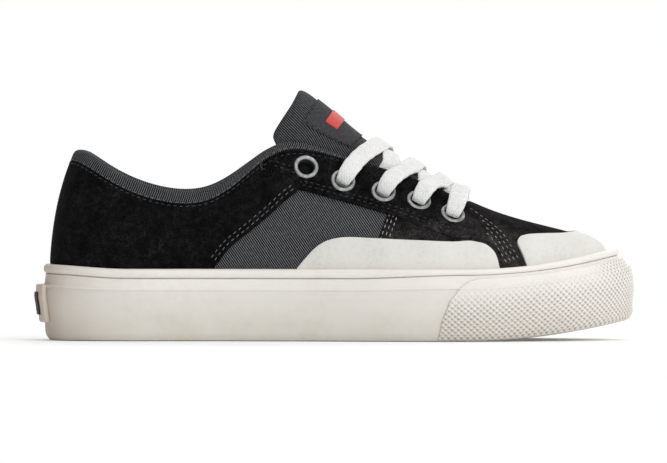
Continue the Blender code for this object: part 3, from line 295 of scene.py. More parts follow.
def closed_spline(knots, values):
    """A smooth closed curve that meets row i of values at knots[i] of a lap that ends at 1."""
    knots, values = np.asarray(knots, float), np.asarray(values, float)
    spans = np.diff(np.append(knots, knots[0] + 1.0))
    before = np.roll(spans, 1)
    here = np.arange(len(knots))
    system = np.zeros((len(knots), len(knots)))
    system[here, here] = 2.0 * (before + spans)
    system[here, here - 1] += before
    system[here, (here + 1) % len(knots)] += spans
    slopes = (np.roll(values, -1, 0) - values) / spans[:, None]
    bends = np.linalg.solve(system, 6.0 * (slopes - np.roll(slopes, 1, 0)))

    def at(lap):
        lap = np.mod(np.asarray(lap, float), 1.0)
        cell = np.searchsorted(knots, lap, side="right") - 1
        after = (cell + 1) % len(knots)
        span = spans[cell][..., None]
        high = (lap - knots[cell])[..., None] / span
        low = 1.0 - high
        curve = (low**3 - low) * bends[cell] + (high**3 - high) * bends[after]
        return low * values[cell] + high * values[after] + curve * span**2 / 6.0

    return at


def open_spline(knots, values):
    """A smooth open curve (Catmull-Rom slopes) that meets row i of values at knots[i]."""
    knots, values = np.asarray(knots, float), np.asarray(values, float)
    slopes = np.gradient(values, knots, axis=0)

    def at(place):
        place = np.clip(np.asarray(place, float), knots[0], knots[-1])
        cell = np.clip(np.searchsorted(knots, place, side="right") - 1, 0, len(knots) - 2)
        span = (knots[cell + 1] - knots[cell])[..., None]
        share = (place - knots[cell])[..., None] / span
        rest = 1.0 - share
        return (values[cell] * rest**2 * (1 + 2 * share) + values[cell + 1] * share**2 * (3 - 2 * share)
                + span * (slopes[cell] * share * rest**2 - slopes[cell + 1] * share**2 * rest))

    return at


def along_sole(x):
    """Place along the sole as a share of its length."""
    return (np.asarray(x, float) - HEEL_X) / SOLE_LENGTH


def spring(x):
    """How far the sole's underside lifts off the floor at x."""
    share = np.clip((along_sole(x) - SPRING_START) / (1.0 - SPRING_START), 0.0, 1.05)
    return TOE_SPRING * share**1.8


def toe_share(x):
    """0 along the sides, 1 at the toe, for what sets back there."""
    return smooth_step(along_sole(x), 0.80, 1.0)


def sole_width(place):
    """Width of the sole at a share of its length."""
    return HEEL_WIDTH + (BALL_WIDTH - HEEL_WIDTH) * smooth_step(place, 0.20, 0.65)


def station_outline():
    """The outline's points, one for each station."""
    return np.array([(HEEL_X + out_x * SOLE_LENGTH, out_y * sole_width(out_x))
                     for _, out_x, out_y, *_ in STATIONS])


OUTLINE_POINTS = station_outline()
SPACING = np.linalg.norm(np.roll(OUTLINE_POINTS, -1, 0) - OUTLINE_POINTS, axis=1)
GIRTH = SPACING.sum()
KNOTS = np.concatenate(([0.0], np.cumsum(SPACING)[:-1])) / GIRTH
TOE_LAP = KNOTS[[row[0] for row in STATIONS].index("toe_tip")]
outline = closed_spline(KNOTS, OUTLINE_POINTS)


def outward(lap):
    """The outline's outward normal in plan."""
    along = outline(np.asarray(lap) + SMALL) - outline(np.asarray(lap) - SMALL)
    return unit(np.stack((along[..., 1], -along[..., 0]), -1))


def inset_outline(lap, inset):
    """The outline moved inwards by inset."""
    return outline(lap) - outward(lap) * np.asarray(inset, float)[..., None]


def feather_inset(lap):
    """Inset of the upper's outer face where it stands inside the foxing."""
    at_toe = toe_share(outline(lap)[..., 0])
    return FOXING_THICKNESS + GAP + UPPER_TUCK + (TOE_SETBACK + TOE_TUCK) * at_toe


def rib_controls():
    """The four control points of each station's rib."""
    foot = inset_outline(KNOTS, feather_inset(KNOTS))
    foot_z = BOARD_HEIGHT + GAP + spring(foot[:, 0])
    normals = outward(KNOTS)
    rows = []
    for i, row in enumerate(STATIONS):
        _, _, _, edge_x, edge_y, level, edge_z, low_out, low_up, high_out, high_down = row
        edge = np.array((HEEL_X + edge_x * SOLE_LENGTH, edge_y * BALL_WIDTH, LEVELS[level] * edge_z))
        base = np.array((*foot[i], foot_z[i]))
        rise = edge[2] - base[2]
        away = base[:2] - edge[:2]
        away = normals[i] if high_out < STEEP_HANDLE else away / np.linalg.norm(away)
        low = base + np.array((*(normals[i] * low_out * BALL_WIDTH), low_up * rise))
        high = edge + np.array((*(away * high_out * BALL_WIDTH), -high_down * rise))
        rows.append(np.concatenate((base, low, high, edge)))
    return np.array(rows)


ribs = closed_spline(KNOTS, rib_controls())


def surface(lap, rise):
    """A point on the upper's outer face: rise goes from 0 at the feather edge to 1 at the top edge."""
    lap, rise = np.broadcast_arrays(np.asarray(lap, float), np.asarray(rise, float))
    controls = ribs(lap)
    rest = 1.0 - rise
    weights = (rest**3, 3 * rest**2 * rise, 3 * rest * rise**2, rise**3)
    return sum(weight[..., None] * controls[..., 3 * i:3 * i + 3] for i, weight in enumerate(weights))


def normal(lap, rise):
    """The upper's outward normal."""
    lap, rise = np.broadcast_arrays(np.asarray(lap, float), np.asarray(rise, float))
    round_shoe = surface(lap + SMALL, rise) - surface(lap - SMALL, rise)
    up = surface(lap, np.minimum(rise + SMALL, 1.0)) - surface(lap, np.maximum(rise - SMALL, 0.0))
    return unit(np.cross(round_shoe, up))


def lifted(lap, rise, lift):
    """A point of the upper's outer face moved along its normal by lift."""
    return surface(lap, rise) + normal(lap, rise) * np.asarray(lift, float)[..., None]


def wall(lap, rise):
    """Thickness of the upper: the plain wall, and the padding round the collar."""
    from_heel = np.minimum(np.mod(lap, 1.0), 1.0 - np.mod(lap, 1.0))
    padded = 1.0 - smooth_step(from_heel, 0.225, 0.275)
    padded = padded * smooth_step(rise, 0.50, 0.80) * (1.0 - 0.45 * smooth_step(rise, 0.90, 1.0))
    return UPPER_WALL + COLLAR_PAD * padded


# Tables of the upper's ribs, and the step of the depths in them.
TABLE_LAPS = np.linspace(0.0, 1.0, 641)
TABLE_RISES = np.linspace(0.0, 1.0, 161)
DEPTH_STEP = 0.0005


def rib_tables():
    """Depth below the top edge by lap and rise, and rise by lap and depth."""
    laps, rises = np.meshgrid(TABLE_LAPS, TABLE_RISES, indexing="ij")
    steps = np.linalg.norm(np.diff(surface(laps, rises), axis=1), axis=2)
    depth = np.concatenate((np.cumsum(steps[:, ::-1], 1)[:, ::-1], np.zeros((len(laps), 1))), 1)
    depths = np.arange(0.0, 0.16, DEPTH_STEP)
    rise = np.array([np.interp(-depths, -row, TABLE_RISES) for row in depth])
    return depth, rise


DEPTHS, RISES_AT = rib_tables()


def looked_up(table, lap, column):
    """A table's value between its rows (laps) and columns."""
    lap, column = np.broadcast_arrays(np.mod(lap, 1.0), column)
    row = lap * (len(TABLE_LAPS) - 1)
    column = np.clip(column, 0.0, table.shape[1] - 1.001)
    i, k = np.minimum(row.astype(int), len(TABLE_LAPS) - 2), column.astype(int)
    a, b = row - i, column - k
    return ((table[i, k] * (1 - b) + table[i, k + 1] * b) * (1 - a)
            + (table[i + 1, k] * (1 - b) + table[i + 1, k + 1] * b) * a)


def depth_at(lap, rise):
    """Distance below the top edge, along the rib."""
    return looked_up(DEPTHS, lap, np.asarray(rise) * (len(TABLE_RISES) - 1))


def rise_at(lap, depth):
    """Rise at a distance below the top edge."""
    return looked_up(RISES_AT, lap, np.asarray(depth) / DEPTH_STEP)


def lip_drop(lap, rise):
    """How far the rounded top edge falls away below the upper's outer face."""
    half = 0.5 * wall(lap, 0.97)
    near = np.clip(1.0 - depth_at(lap, rise) / half, 0.0, 1.0)
    return half * (1.0 - np.sqrt(1.0 - near * near))


def strip_top(x):
    """Height of the top strip's upper edge above the floor."""
    return spring(x) + FOXING_HEIGHT + GAP + STRIP_HEIGHT + TOE_RISE * toe_share(x)


def rise_at_strip(lap):
    """Rise at which the rib meets the top strip, a little inside it."""
    points = surface(lap, TABLE_RISES)
    return float(np.interp(0.0, points[:, 2] - strip_top(points[:, 0]) + STRIP_TUCK, TABLE_RISES))


def side_grid(lateral):
    """Samples of one side of the upper, for finding points by their place in the side view."""
    laps = np.linspace(0.0, TOE_LAP, 800) if lateral else np.linspace(TOE_LAP, 1.0, 800)
    laps, rises = np.meshgrid(laps, np.linspace(0.0, 1.0, 320), indexing="ij")
    return laps, rises, surface(laps, rises)


SIDES = {True: side_grid(True), False: side_grid(False)}


def edge_lap(share_x, lateral):
    """Lap at which the collar or throat edge is at a place along the sole."""
    laps = np.linspace(0.12, TOE_LAP, 400) if lateral else np.linspace(0.88, TOE_LAP, 400)
    return float(np.interp(share_x, along_sole(surface(laps, 1.0)[:, 0]), laps))


def on_side(share_x, share_z, lateral):
    """(lap, rise) of the upper's point at a place in the side view."""
    laps, rises, points = SIDES[lateral]
    away = np.hypot(points[..., 0] - HEEL_X - share_x * SOLE_LENGTH,
                    points[..., 2] - share_z * INSTEP_HEIGHT)
    nearest = np.unravel_index(away.argmin(), away.shape)
    return laps[nearest], rises[nearest]


def sole_lap(share_x, lateral):
    """Lap at which the sole's outline is at a place along its length."""
    laps = SIDES[lateral][0][:, 0]
    places = along_sole(outline(laps)[:, 0])
    return float(np.interp(share_x, places, laps) if lateral else np.interp(-share_x, -places, laps))


# Flat patterns: a panel's outline lies in the unrolled upper, where x is the lap and y the rise,
# both scaled to metres.
PATTERN = np.array((GIRTH, 0.090))
STEP = 0.0016


def curve_through(points):
    """A smooth line through (lap, rise) points, evenly resampled."""
    points = np.asarray(points, float)
    lengths = lengths_along(points * PATTERN)
    fine = open_spline(lengths, points)(np.linspace(0, lengths[-1], 40 * len(points)))
    lengths = lengths_along(fine * PATTERN)
    at = np.linspace(0, lengths[-1], max(1, round(lengths[-1] / STEP)) + 1)
    return read_at(at, lengths, fine)


def joined(*lines):
    """One closed outline from lines that follow each other, with no point twice."""
    points = [lines[0][0]]
    for point in np.vstack(lines):
        if np.linalg.norm((point - points[-1]) * PATTERN) > 0.4 * STEP:
            points.append(point)
    if np.linalg.norm((points[0] - points[-1]) * PATTERN) < 0.4 * STEP:
        points.pop()
    return np.array(points)


def slopes_at(lap, rise):
    """How the upper's surface runs with lap and with rise."""
    low, high = np.maximum(rise - SMALL, 0.0), np.minimum(rise + SMALL, 1.0)
    return ((surface(lap + SMALL, rise) - surface(lap - SMALL, rise)) / (2 * SMALL),
            (surface(lap, high) - surface(lap, low)) / (high - low)[..., None])


def circle_on(lap, rise, radius):
    """A circle of real radius round a point of the upper, as (lap, rise) points."""
    round_shoe, up = slopes_at(np.array(lap), np.array(rise))
    first = round_shoe / np.linalg.norm(round_shoe)
    second = np.cross(normal(lap, rise), first)
    axes = np.array(((round_shoe @ first, up @ first), (round_shoe @ second, up @ second)))
    turns = np.arange(HOLE_SIDES) * 2 * np.pi / HOLE_SIDES
    offsets = np.linalg.solve(axes, radius * np.stack((np.cos(turns), np.sin(turns))))
    return np.stack((lap + offsets[0], rise + offsets[1]), -1)


def shifted(line, distance):
    """A (lap, rise) line moved over the upper by a real distance, to its left seen from outside."""
    lap, rise = np.asarray(line, float).T
    a, b = slopes_at(lap, rise)
    along = np.gradient(surface(lap, rise), axis=0)
    side = np.cross(normal(lap, rise), along)
    side *= (distance / np.linalg.norm(side, axis=1))[:, None]
    aa, ab, bb = (a * a).sum(1), (a * b).sum(1), (b * b).sum(1)
    sa, sb = (a * side).sum(1), (b * side).sum(1)
    under = aa * bb - ab * ab
    return np.stack((lap + (bb * sa - ab * sb) / under, rise + (aa * sb - ab * sa) / under), -1)


def inside(points, loop):
    """Which points lie inside a closed loop."""
    crossings = np.zeros(len(points), bool)
    for (x0, y0), (x1, y1) in zip(loop, np.roll(loop, -1, 0)):
        spans = (y0 > points[:, 1]) != (y1 > points[:, 1])
        at = x0 + (points[:, 1] - y0) * (x1 - x0) / (y1 - y0 if y1 != y0 else 1.0)
        crossings ^= spans & (points[:, 0] < at)
    return crossings


def distance_to(points, loop):
    """Shortest distance from each point to a closed loop."""
    best = np.full(len(points), np.inf)
    for start, end in zip(loop, np.roll(loop, -1, 0)):
        line = end - start
        share = np.clip(((points - start) @ line) / max(line @ line, 1e-18), 0.0, 1.0)
        best = np.minimum(best, np.linalg.norm(points - start - share[:, None] * line, axis=1))
    return best


def triangulate(loops, step):
    """Points and triangles of the region inside the first loop and outside the others."""
    low, high = loops[0].min(0), loops[0].max(0)
    fill = np.stack(np.meshgrid(np.arange(low[0], high[0], step), np.arange(low[1], high[1], step),
                                indexing="ij"), -1)
    fill[::2, :, 1] += 0.5 * step
    fill = fill.reshape(-1, 2)
    fill = fill[inside(fill, loops[0])]
    for loop in loops:
        fill = fill[distance_to(fill, loop) > 0.6 * step]
    for loop in loops[1:]:
        fill = fill[~inside(fill, loop)]
    points = np.vstack((*loops, fill))
    edges, start = [], 0
    for loop in loops:
        edges += [(start + i, start + (i + 1) % len(loop)) for i in range(len(loop))]
        start += len(loop)
    found, _, faces, origins, *_ = delaunay_2d_cdt([Vector(p) for p in points], edges, [], 0, 1e-9)
    if len(found) != len(points):
        raise RuntimeError("a panel's outline crosses itself or has a point twice")
    order = [origin[0] for origin in origins]
    faces = np.array([[order[i] for i in face] for face in faces])
    middles = points[faces].mean(1)
    real = inside(middles, loops[0])
    for loop in loops[1:]:
        real &= ~inside(middles, loop)
    faces = faces[real]
    corners = points[faces]
    first, second = corners[:, 1] - corners[:, 0], corners[:, 2] - corners[:, 0]
    area = first[:, 0] * second[:, 1] - first[:, 1] * second[:, 0]
    faces[area < 0] = faces[area < 0][:, ::-1]
    return points, faces[np.abs(area) > 1e-10]


def two_faced(outer, inner, faces):
    """Points and faces of a closed sheet between two like sets of points."""
    count = len(outer)
    edges = np.concatenate([faces[:, [0, 1]], faces[:, [1, 2]], faces[:, [2, 0]]])
    seen = {tuple(edge) for edge in edges}
    walls = [(b, a, a + count, b + count) for a, b in edges if (b, a) not in seen]
    return np.vstack((outer, inner)), [*map(tuple, faces), *map(tuple, faces[:, ::-1] + count), *walls]


def ring_faces(around, across, closed):
    """Quads of a grid of rings, closed across, and closed or capped around."""
    faces = []
    for i in range(around if closed else around - 1):
        j = (i + 1) % around
        for k in range(across):
            m = (k + 1) % across
            faces.append((j * across + k, j * across + m, i * across + m, i * across + k))
    if not closed:
        faces.append(tuple(range(across)))
        faces.append(tuple((around - 1) * across + k for k in range(across))[::-1])
    return faces


def only(*objects):
    """Selects these objects alone, the first of them active."""
    bpy.ops.object.select_all(action="DESELECT")
    for each in objects:
        each.select_set(True)
    bpy.context.view_layer.objects.active = objects[0]


def primitive(kind, **settings):
    """A new primitive of this kind, the only object selected."""
    bpy.ops.object.select_all(action="DESELECT")
    getattr(bpy.ops.mesh, f"primitive_{kind}_add")(**settings)
    return bpy.context.object


def merged(piece, distance):
    """Merges the piece's double points."""
    only(piece)
    bpy.ops.object.mode_set(mode="EDIT")
    bpy.ops.mesh.select_all(action="SELECT")
    bpy.ops.mesh.remove_doubles(threshold=distance)
    bpy.ops.object.mode_set(mode="OBJECT")


def turned(weave, degrees):
    """A cloth map turned by an angle."""
    c, s = np.cos(np.radians(degrees)), np.sin(np.radians(degrees))
    return weave @ np.array(((c, s), (-s, c)))


def mesh_piece(name, points, faces, looks, weave=None):
    """A piece from points and faces, with the weave's place at each point as its UV map."""
    mesh = bpy.data.meshes.new(name)
    mesh.from_pydata(np.asarray(points, float).tolist(), [], [tuple(map(int, f)) for f in faces])
    for look in looks:
        mesh.materials.append(look)
    if weave is not None:
        corners = np.empty(len(mesh.loops), int)
        mesh.loops.foreach_get("vertex_index", corners)
        layer = mesh.uv_layers.new(name="weave")
        layer.uv.foreach_set("vector", np.asarray(weave, float)[corners].ravel())
    piece = bpy.data.objects.new(name, mesh)
    bpy.context.scene.collection.objects.link(piece)
    return piece


def ring_piece(name, rows, closed, looks, weave=None, inside_out=False):
    """A piece whose section is the same number of points all along: one row for each of them."""
    grid = np.stack(rows, 1)
    faces = ring_faces(*grid.shape[:2], closed)
    if inside_out:
        faces = [face[::-1] for face in faces]
    return mesh_piece(name, grid.reshape(-1, 3), faces, looks, weave)


def bevelled(piece, width, segments=2):
    """Rounds the piece's sharp edges."""
    only(piece)
    bevel = piece.modifiers.new("rounded edges", "BEVEL")
    bevel.width, bevel.segments, bevel.limit_method = width, segments, "ANGLE"
    bevel.angle_limit = np.radians(50.0)
    bevel.use_clamp_overlap = True
    bpy.ops.object.modifier_apply(modifier=bevel.name)
    return piece


def cut(piece, cutter):
    """Cuts another object out of the piece."""
    only(piece)
    taken = piece.modifiers.new("cut", "BOOLEAN")
    taken.operation, taken.object, taken.solver = "DIFFERENCE", cutter, "EXACT"
    bpy.ops.object.modifier_apply(modifier=taken.name)
    bpy.data.objects.remove(cutter)
    return piece


def fitted(piece, slot, *nodes, angle=40.0):
    """Smooths a finished piece, and has it ride with the shoe in place of its CAD nodes."""
    only(piece)
    bpy.ops.object.shade_smooth_by_angle(angle=np.radians(angle))
    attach(piece, "root")
    if nodes:
        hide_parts(*nodes)
    return piece


def panel(name, outlines, look, low, high, step=0.0021, bevel=0.00035):
    """A panel sewn on the upper, from its outline and the outlines of its holes."""
    points, faces = triangulate([loop * PATTERN for loop in outlines], step)
    lap, rise = (points / PATTERN).T
    rise = np.clip(rise, 0.0, 1.0)
    drop = lip_drop(lap, rise)
    base = surface(lap, rise)
    skived = 0.55 + 0.45 * smooth_step(base[:, 2] - strip_top(base[:, 0]), -0.001, 0.004)
    outer, inner = lifted(lap, rise, high * skived - drop), lifted(lap, rise, low - drop)
    made = mesh_piece(name, *two_faced(outer, inner, faces), [look])
    return bevelled(made, bevel)


def strip_line(start, end):
    """The line along the top strip's upper edge, from one lap to another."""
    laps = np.linspace(start, end, max(1, round(abs(end - start) * GIRTH / STEP)) + 1)
    return np.array([(lap, rise_at_strip(lap)) for lap in laps])


def edge_line(start, end, depth):
    """A line that keeps depth(share) below the top edge, from one lap to another."""
    shares = np.linspace(0.0, 1.0, max(1, round(abs(end - start) * GIRTH / STEP)) + 1)
    laps = start + (end - start) * shares
    return np.stack((laps, rise_at(laps, np.array([depth(share) for share in shares]))), -1)


def placed(table, lateral):
    """A panel's side view outline as (lap, rise) points, kept above the strip."""
    points = np.array([on_side(x, z, lateral) for x, z in table])
    points[:, 1] = np.maximum(points[:, 1], [rise_at_strip(lap) for lap in points[:, 0]])
    return points


EYELETS = {side: [on_side(x, z, side) for x, z in EYELET_PLACES] for side in (True, False)}
HOLE_RADIUS = EYELET_BORE + EYELET_TUBE + 2 * GAP


def binding_depth(share):
    """Width of the binding from its front end (0) to the collar (1)."""
    return BINDING_WIDTH * (0.35 + 0.65 * smooth_step(share, 0.0, 0.35))


def stay_depth(lap, lateral):
    """How far below the top edge an eyestay starts."""
    heel_lap = 0.0 if lateral else 1.0
    place = 1.0 - abs(lap - heel_lap) / abs(edge_lap(BINDING_END, lateral) - heel_lap)
    return binding_depth(place) + 0.0004 if place > 0 else 0.0006


def quarter_lines(lateral):
    """The quarter's front edge and its top edge up to the collar, on one side."""
    points = placed(QUARTER_FRONT, lateral)
    if not lateral:
        points[:, 0] -= 1.0
    return curve_through(points[:5]), curve_through(points[4:])


def stay_lines(lateral):
    """An eyestay's edges: foot's rear, lower edge, rear end and front."""
    lower, front = placed(STAY_LOWER, lateral), placed(STAY_FRONT, lateral)
    return (curve_through(lower[:5]), curve_through(lower[5:11]), curve_through(lower[10:]),
            curve_through(front))


def stay_throat(lateral, rear, ahead, below=0.0):
    """An eyestay's upper edge, from the end of its rear end to the start of its front."""
    start, end = rear[-1][0], ahead[0][0]
    return edge_line(start, end, lambda part: stay_depth(start + (end - start) * part, lateral) + below)


def binding_ends():
    """Laps of the binding's medial and lateral ends, the medial one below 0."""
    return edge_lap(BINDING_END, False) - 1.0, edge_lap(BINDING_END, True)


def cap_line():
    """The toe cap's rear edge, from side to side over the vamp."""
    lateral, medial = placed(TOE_CAP, True), placed(TOE_CAP, False)
    ridge = surface(TOE_LAP, TABLE_RISES)
    centre = (TOE_LAP, float(np.interp(-TOE_CAP_CENTRE, -along_sole(ridge[40:, 0]), TABLE_RISES[40:])))
    return curve_through(np.vstack((lateral, [centre], medial[::-1])))


def vamp_line(lateral):
    """The seam between the canvas side and the suede vamp, from the strip up to the throat."""
    return curve_through(placed(VAMP_SEAM, lateral))


def length(name, description, default):
    return FloatProperty(name=name, description=description, default=default, min=0.0,
                         precision=5, unit="LENGTH")


def angle(name, description, degrees):
    return FloatProperty(name=name, description=description, default=np.radians(degrees),
                         subtype="ANGLE")


def colour(name, description, default):
    return FloatVectorProperty(name=name, description=description, default=default,
                               subtype="COLOR", size=3, min=0.0, max=1.0)


class ShoeSizes(bpy.types.PropertyGroup):
    """Sizes of what the scene adds to the CAD part"""
    panel_thickness: length("Panel thickness", "Suede of the quarter and eyestays", 0.0014)
    vamp_thickness: length("Vamp thickness", "Suede of the vamp, under the other panels", 0.0005)
    binding_thickness: length("Binding thickness", "Cloth round the collar", 0.0007)
    stitch_length: length("Stitch length", "How long each stitch shows", 0.0019)
    stitch_pitch: length("Stitch pitch", "Distance from one stitch to the next", 0.0031)
    stitch_width: length("Stitch width", "Thickness of the thread", 0.00044)
    texture_depth: length("Bumper texture depth", "Depth of the toe bumper's pyramids", 0.00070)
    texture_long: length("Bumper texture length", "Length of one pyramid along the sole", 0.0032)
    texture_high: length("Bumper texture height", "Height of one pyramid", 0.0027)
    lace_width: length("Lace width", "Width of the flat lace", 0.0092)
    lace_thickness: length("Lace thickness", "Thickness of the flat lace", 0.0026)
    weave_pitch: length("Twill pitch", "Distance between the canvas's diagonal lines", 0.00102)
    weave_angle: angle("Twill angle", "Turn of the canvas's diagonal lines", 34.0)
    camera_distance: length("Camera distance", "From the lens to the middle of the shoe", 8.0)
    camera_height: angle("Camera elevation", "How far the camera looks down", 0.75)


class ShoeColours(bpy.types.PropertyGroup):
    """Colours of the shoe"""
    suede: colour("Suede", "Black suede", (0.0054, 0.0054, 0.0056))
    canvas_dark: colour("Canvas, dark threads", "Ground of the twill", (0.0075, 0.0078, 0.0088))
    canvas_light: colour("Canvas, light threads", "Lines of the twill", (0.235, 0.238, 0.248))
    rubber: colour("Sole rubber", "Side wall, strip, bumper and heel tab", (0.805, 0.777, 0.730))
    guard: colour("Pale guard", "Toe cap and side guards", (0.69, 0.682, 0.645))
    label: colour("Heel label", "Plain dark label on the heel tab", (0.036, 0.030, 0.026))
    tag: colour("Tongue label", "Plain red label on the tongue", (0.56, 0.060, 0.050))
    metal: colour("Eyelets", "Satin metal", (0.30, 0.305, 0.31))
    lace: colour("Laces", "White cotton", (0.79, 0.784, 0.780))
    lining: colour("Lining", "Cloth inside the upper", (0.010, 0.010, 0.011))
    thread: colour("Light thread", "Stitches of the quarter and front", (0.135, 0.135, 0.14))
    pale_thread: colour("Pale thread", "Stitches of the front", (0.34, 0.33, 0.32))
    dim_thread: colour("Dark thread", "Stitches of the eyestays", (0.045, 0.045, 0.047))
    floor: colour("Floor", "Plain pale floor, lit from below too", (0.94, 0.94, 0.94))


class Look:
    """A material whose nodes are added one after the other."""

    def __init__(self, name, metallic=0.0, sheen=0.0, specular=0.5):
        self.material = bpy.data.materials.new(name)
        self.material.use_nodes = True
        self.tree = self.material.node_tree
        self.shader = self.tree.nodes["Principled BSDF"]
        self.shader.inputs["Metallic"].default_value = metallic
        self.shader.inputs["Sheen Weight"].default_value = sheen
        self.shader.inputs["Sheen Roughness"].default_value = 0.5
        self.shader.inputs["Specular IOR Level"].default_value = specular
        self.place = self.add("ShaderNodeTexCoord").outputs["Object"]

    def add(self, kind, inputs=None, **settings):
        node = self.tree.nodes.new(kind)
        for key, value in settings.items():
            setattr(node, key, value)
        for key, value in (inputs or {}).items():
            if isinstance(value, bpy.types.NodeSocket):
                self.tree.links.new(value, node.inputs[key])
            else:
                node.inputs[key].default_value = value
        return node

    def noise(self, size, detail=3.0):
        """Noise whose features are about this size."""
        inputs = {"Vector": self.place, "Scale": 1.0 / size, "Detail": detail}
        return self.add("ShaderNodeTexNoise", inputs).outputs["Fac"]

    def grains(self, size):
        """Rounded grains of about this size, 0 at their middles."""
        inputs = {"Vector": self.place, "Scale": 1.0 / size}
        return self.add("ShaderNodeTexVoronoi", inputs).outputs["Distance"]

    def lines(self, place, pitch, direction="X", wander=0.0):
        """Parallel lines a pitch apart."""
        inputs = {"Vector": place, "Scale": 0.31416 / pitch, "Distortion": wander, "Detail": 1.0,
                  "Detail Scale": 1.0}
        return self.add("ShaderNodeTexWave", inputs, bands_direction=direction).outputs["Fac"]

    def weave(self, turn=0.0):
        """The piece's own map of its cloth, turned."""
        flat = self.add("ShaderNodeUVMap", uv_map="weave").outputs["UV"]
        return self.add("ShaderNodeMapping", {"Vector": flat, "Rotation": (0.0, 0.0, -turn)}).outputs[0]

    def axis(self, place, name):
        """One coordinate of a place."""
        return self.add("ShaderNodeSeparateXYZ", {"Vector": place}).outputs[name]

    def painted_light_map(self):
        """The painted light and shade that the piece carries in its own map."""
        return self.axis(self.add("ShaderNodeUVMap", uv_map="weave").outputs["UV"], "X")

    def sum(self, operation, a, b):
        """Two values put together by a sum, product or other operation."""
        node = self.add("ShaderNodeMath", operation=operation)
        for socket, value in zip(node.inputs, (a, b)):
            if isinstance(value, bpy.types.NodeSocket):
                self.tree.links.new(value, socket)
            else:
                socket.default_value = value
        return node.outputs[0]

    def mixed(self, *parts):
        """Weighted sum of (weight, value) parts."""
        total = None
        for weight, value in parts:
            scaled = self.sum("MULTIPLY", value, weight)
            total = scaled if total is None else self.sum("ADD", total, scaled)
        return total

    def ramp(self, factor, *stops):
        """Colours or grey levels by place."""
        node = self.add("ShaderNodeValToRGB", {"Fac": factor})
        band = node.color_ramp
        while len(band.elements) < len(stops):
            band.elements.new(0.5)
        for element, (at, tint) in zip(band.elements, stops):
            element.position = at
            element.color = (*tint, 1.0) if np.ndim(tint) else (tint, tint, tint, 1.0)
        return node.outputs["Color"]

    def shades(self, factor, tint, *stops):
        """Lighter and darker shades of one colour by place."""
        return self.ramp(factor, *((at, scaled(tint, share)) for at, share in stops))

    def tinted(self, colour_socket, factor_socket):
        """A colour times a grey level."""
        node = self.add("ShaderNodeMix", data_type="RGBA", blend_type="MULTIPLY")
        node.inputs[0].default_value = 1.0
        self.tree.links.new(colour_socket, node.inputs[6])
        self.tree.links.new(factor_socket, node.inputs[7])
        return node.outputs[2]

    def made(self, tint, pattern, low, high, height=None, depth=0.0, strength=0.0, ends=(0.3, 0.7)):
        """Links colour, roughness by a pattern's place, and bump, and gives the material."""
        roughness = self.ramp(pattern, (ends[0], low), (ends[1], high))
        self.tree.links.new(tint, self.shader.inputs["Base Color"])
        self.tree.links.new(roughness, self.shader.inputs["Roughness"])
        if height is not None:
            bump = self.add("ShaderNodeBump",
                            {"Height": height, "Distance": depth, "Strength": strength})
            self.tree.links.new(bump.outputs["Normal"], self.shader.inputs["Normal"])
        return self.material


LOOKS = {}


def look(name):
    """A material by its plain name, made when first asked for."""
    if name not in LOOKS:
        LOOKS[name] = MAKERS[name](name, bpy.context.scene.shoe_colours, bpy.context.scene.shoe_sizes)
    return LOOKS[name]


def scaled(tint, factor, warm=0.0):
    """A colour made lighter or darker, and warmer."""
    r, g, b = (min(1.0, c * factor) for c in tint)
    return (r * (1.0 + warm), g, b * (1.0 - warm))


def suede_look(name, colours, sizes):
    fresh = name == "black suede"
    sheen, specular, light = (0.015, 0.03, 0.92) if fresh else (0.004, 0.01, 4.7)
    made = Look(name, sheen=sheen, specular=specular)
    nap, patches, fibres = made.noise(0.0105, 4.0), made.noise(0.0030, 3.0), made.noise(0.00070, 2.0)
    value = made.mixed((0.28, nap), (0.30, patches), (0.42, fibres))
    tint = made.shades(value, colours.suede, (0.36, light * 0.22), (0.47, light * 0.75),
                       (0.55, light * 1.5), (0.66, light * 3.6))
    # The vamp and eyestays are worn lighter and browner low on the sides.
    if not fresh:
        out = made.sum("ABSOLUTE", made.axis(made.place, "Y"), 0.0)
        sides = made.ramp(made.sum("MULTIPLY", out, 20.0), (0.25, 0.0), (0.62, 1.0))
        low = made.ramp(made.sum("MULTIPLY", made.axis(made.place, "Z"), 10.0),
                        (0.46, 1.0), (0.53, 0.60), (0.68, 0.0))
        worn = made.sum("MULTIPLY", sides, low)
        # Where they aren't worn, the dark stop brings the lighter ground back to black suede.
        tint = made.tinted(tint, made.ramp(worn, (0.0, 0.24), (0.5, (0.75, 0.69, 0.67)),
                                           (1.0, (1.0, 0.90, 0.87))))
    height = made.mixed((0.75, fibres), (0.25, patches))
    return made.made(tint, patches, 0.86, 0.98, height, 0.00022, 0.45)


def canvas_look(name, colours, sizes):
    made = Look(name, sheen=0.02, specular=0.08)
    light = 0.80 if name == "binding twill" else 1.0
    flat = made.weave(sizes.weave_angle)
    twill = made.lines(flat, sizes.weave_pitch, "X", 0.9)
    dashes = made.lines(flat, 0.62 * sizes.weave_pitch, "Y", 1.4)
    yarn = made.noise(0.0016, 2.0)
    height = made.sum("MULTIPLY", twill, made.mixed((0.55, dashes), (1.0, 0.5)))
    tint = made.ramp(height, (0.26, tuple(colours.canvas_dark)),
                     (0.52, scaled(colours.canvas_light, 0.235 * light)),
                     (0.82, scaled(colours.canvas_light, 1.16 * light)))
    tint = made.tinted(tint, made.ramp(yarn, (0.30, 0.70), (0.70, 1.0)))
    return made.made(tint, height, 0.95, 0.78, height, 0.00022, 0.7, ends=(0.0, 1.0))


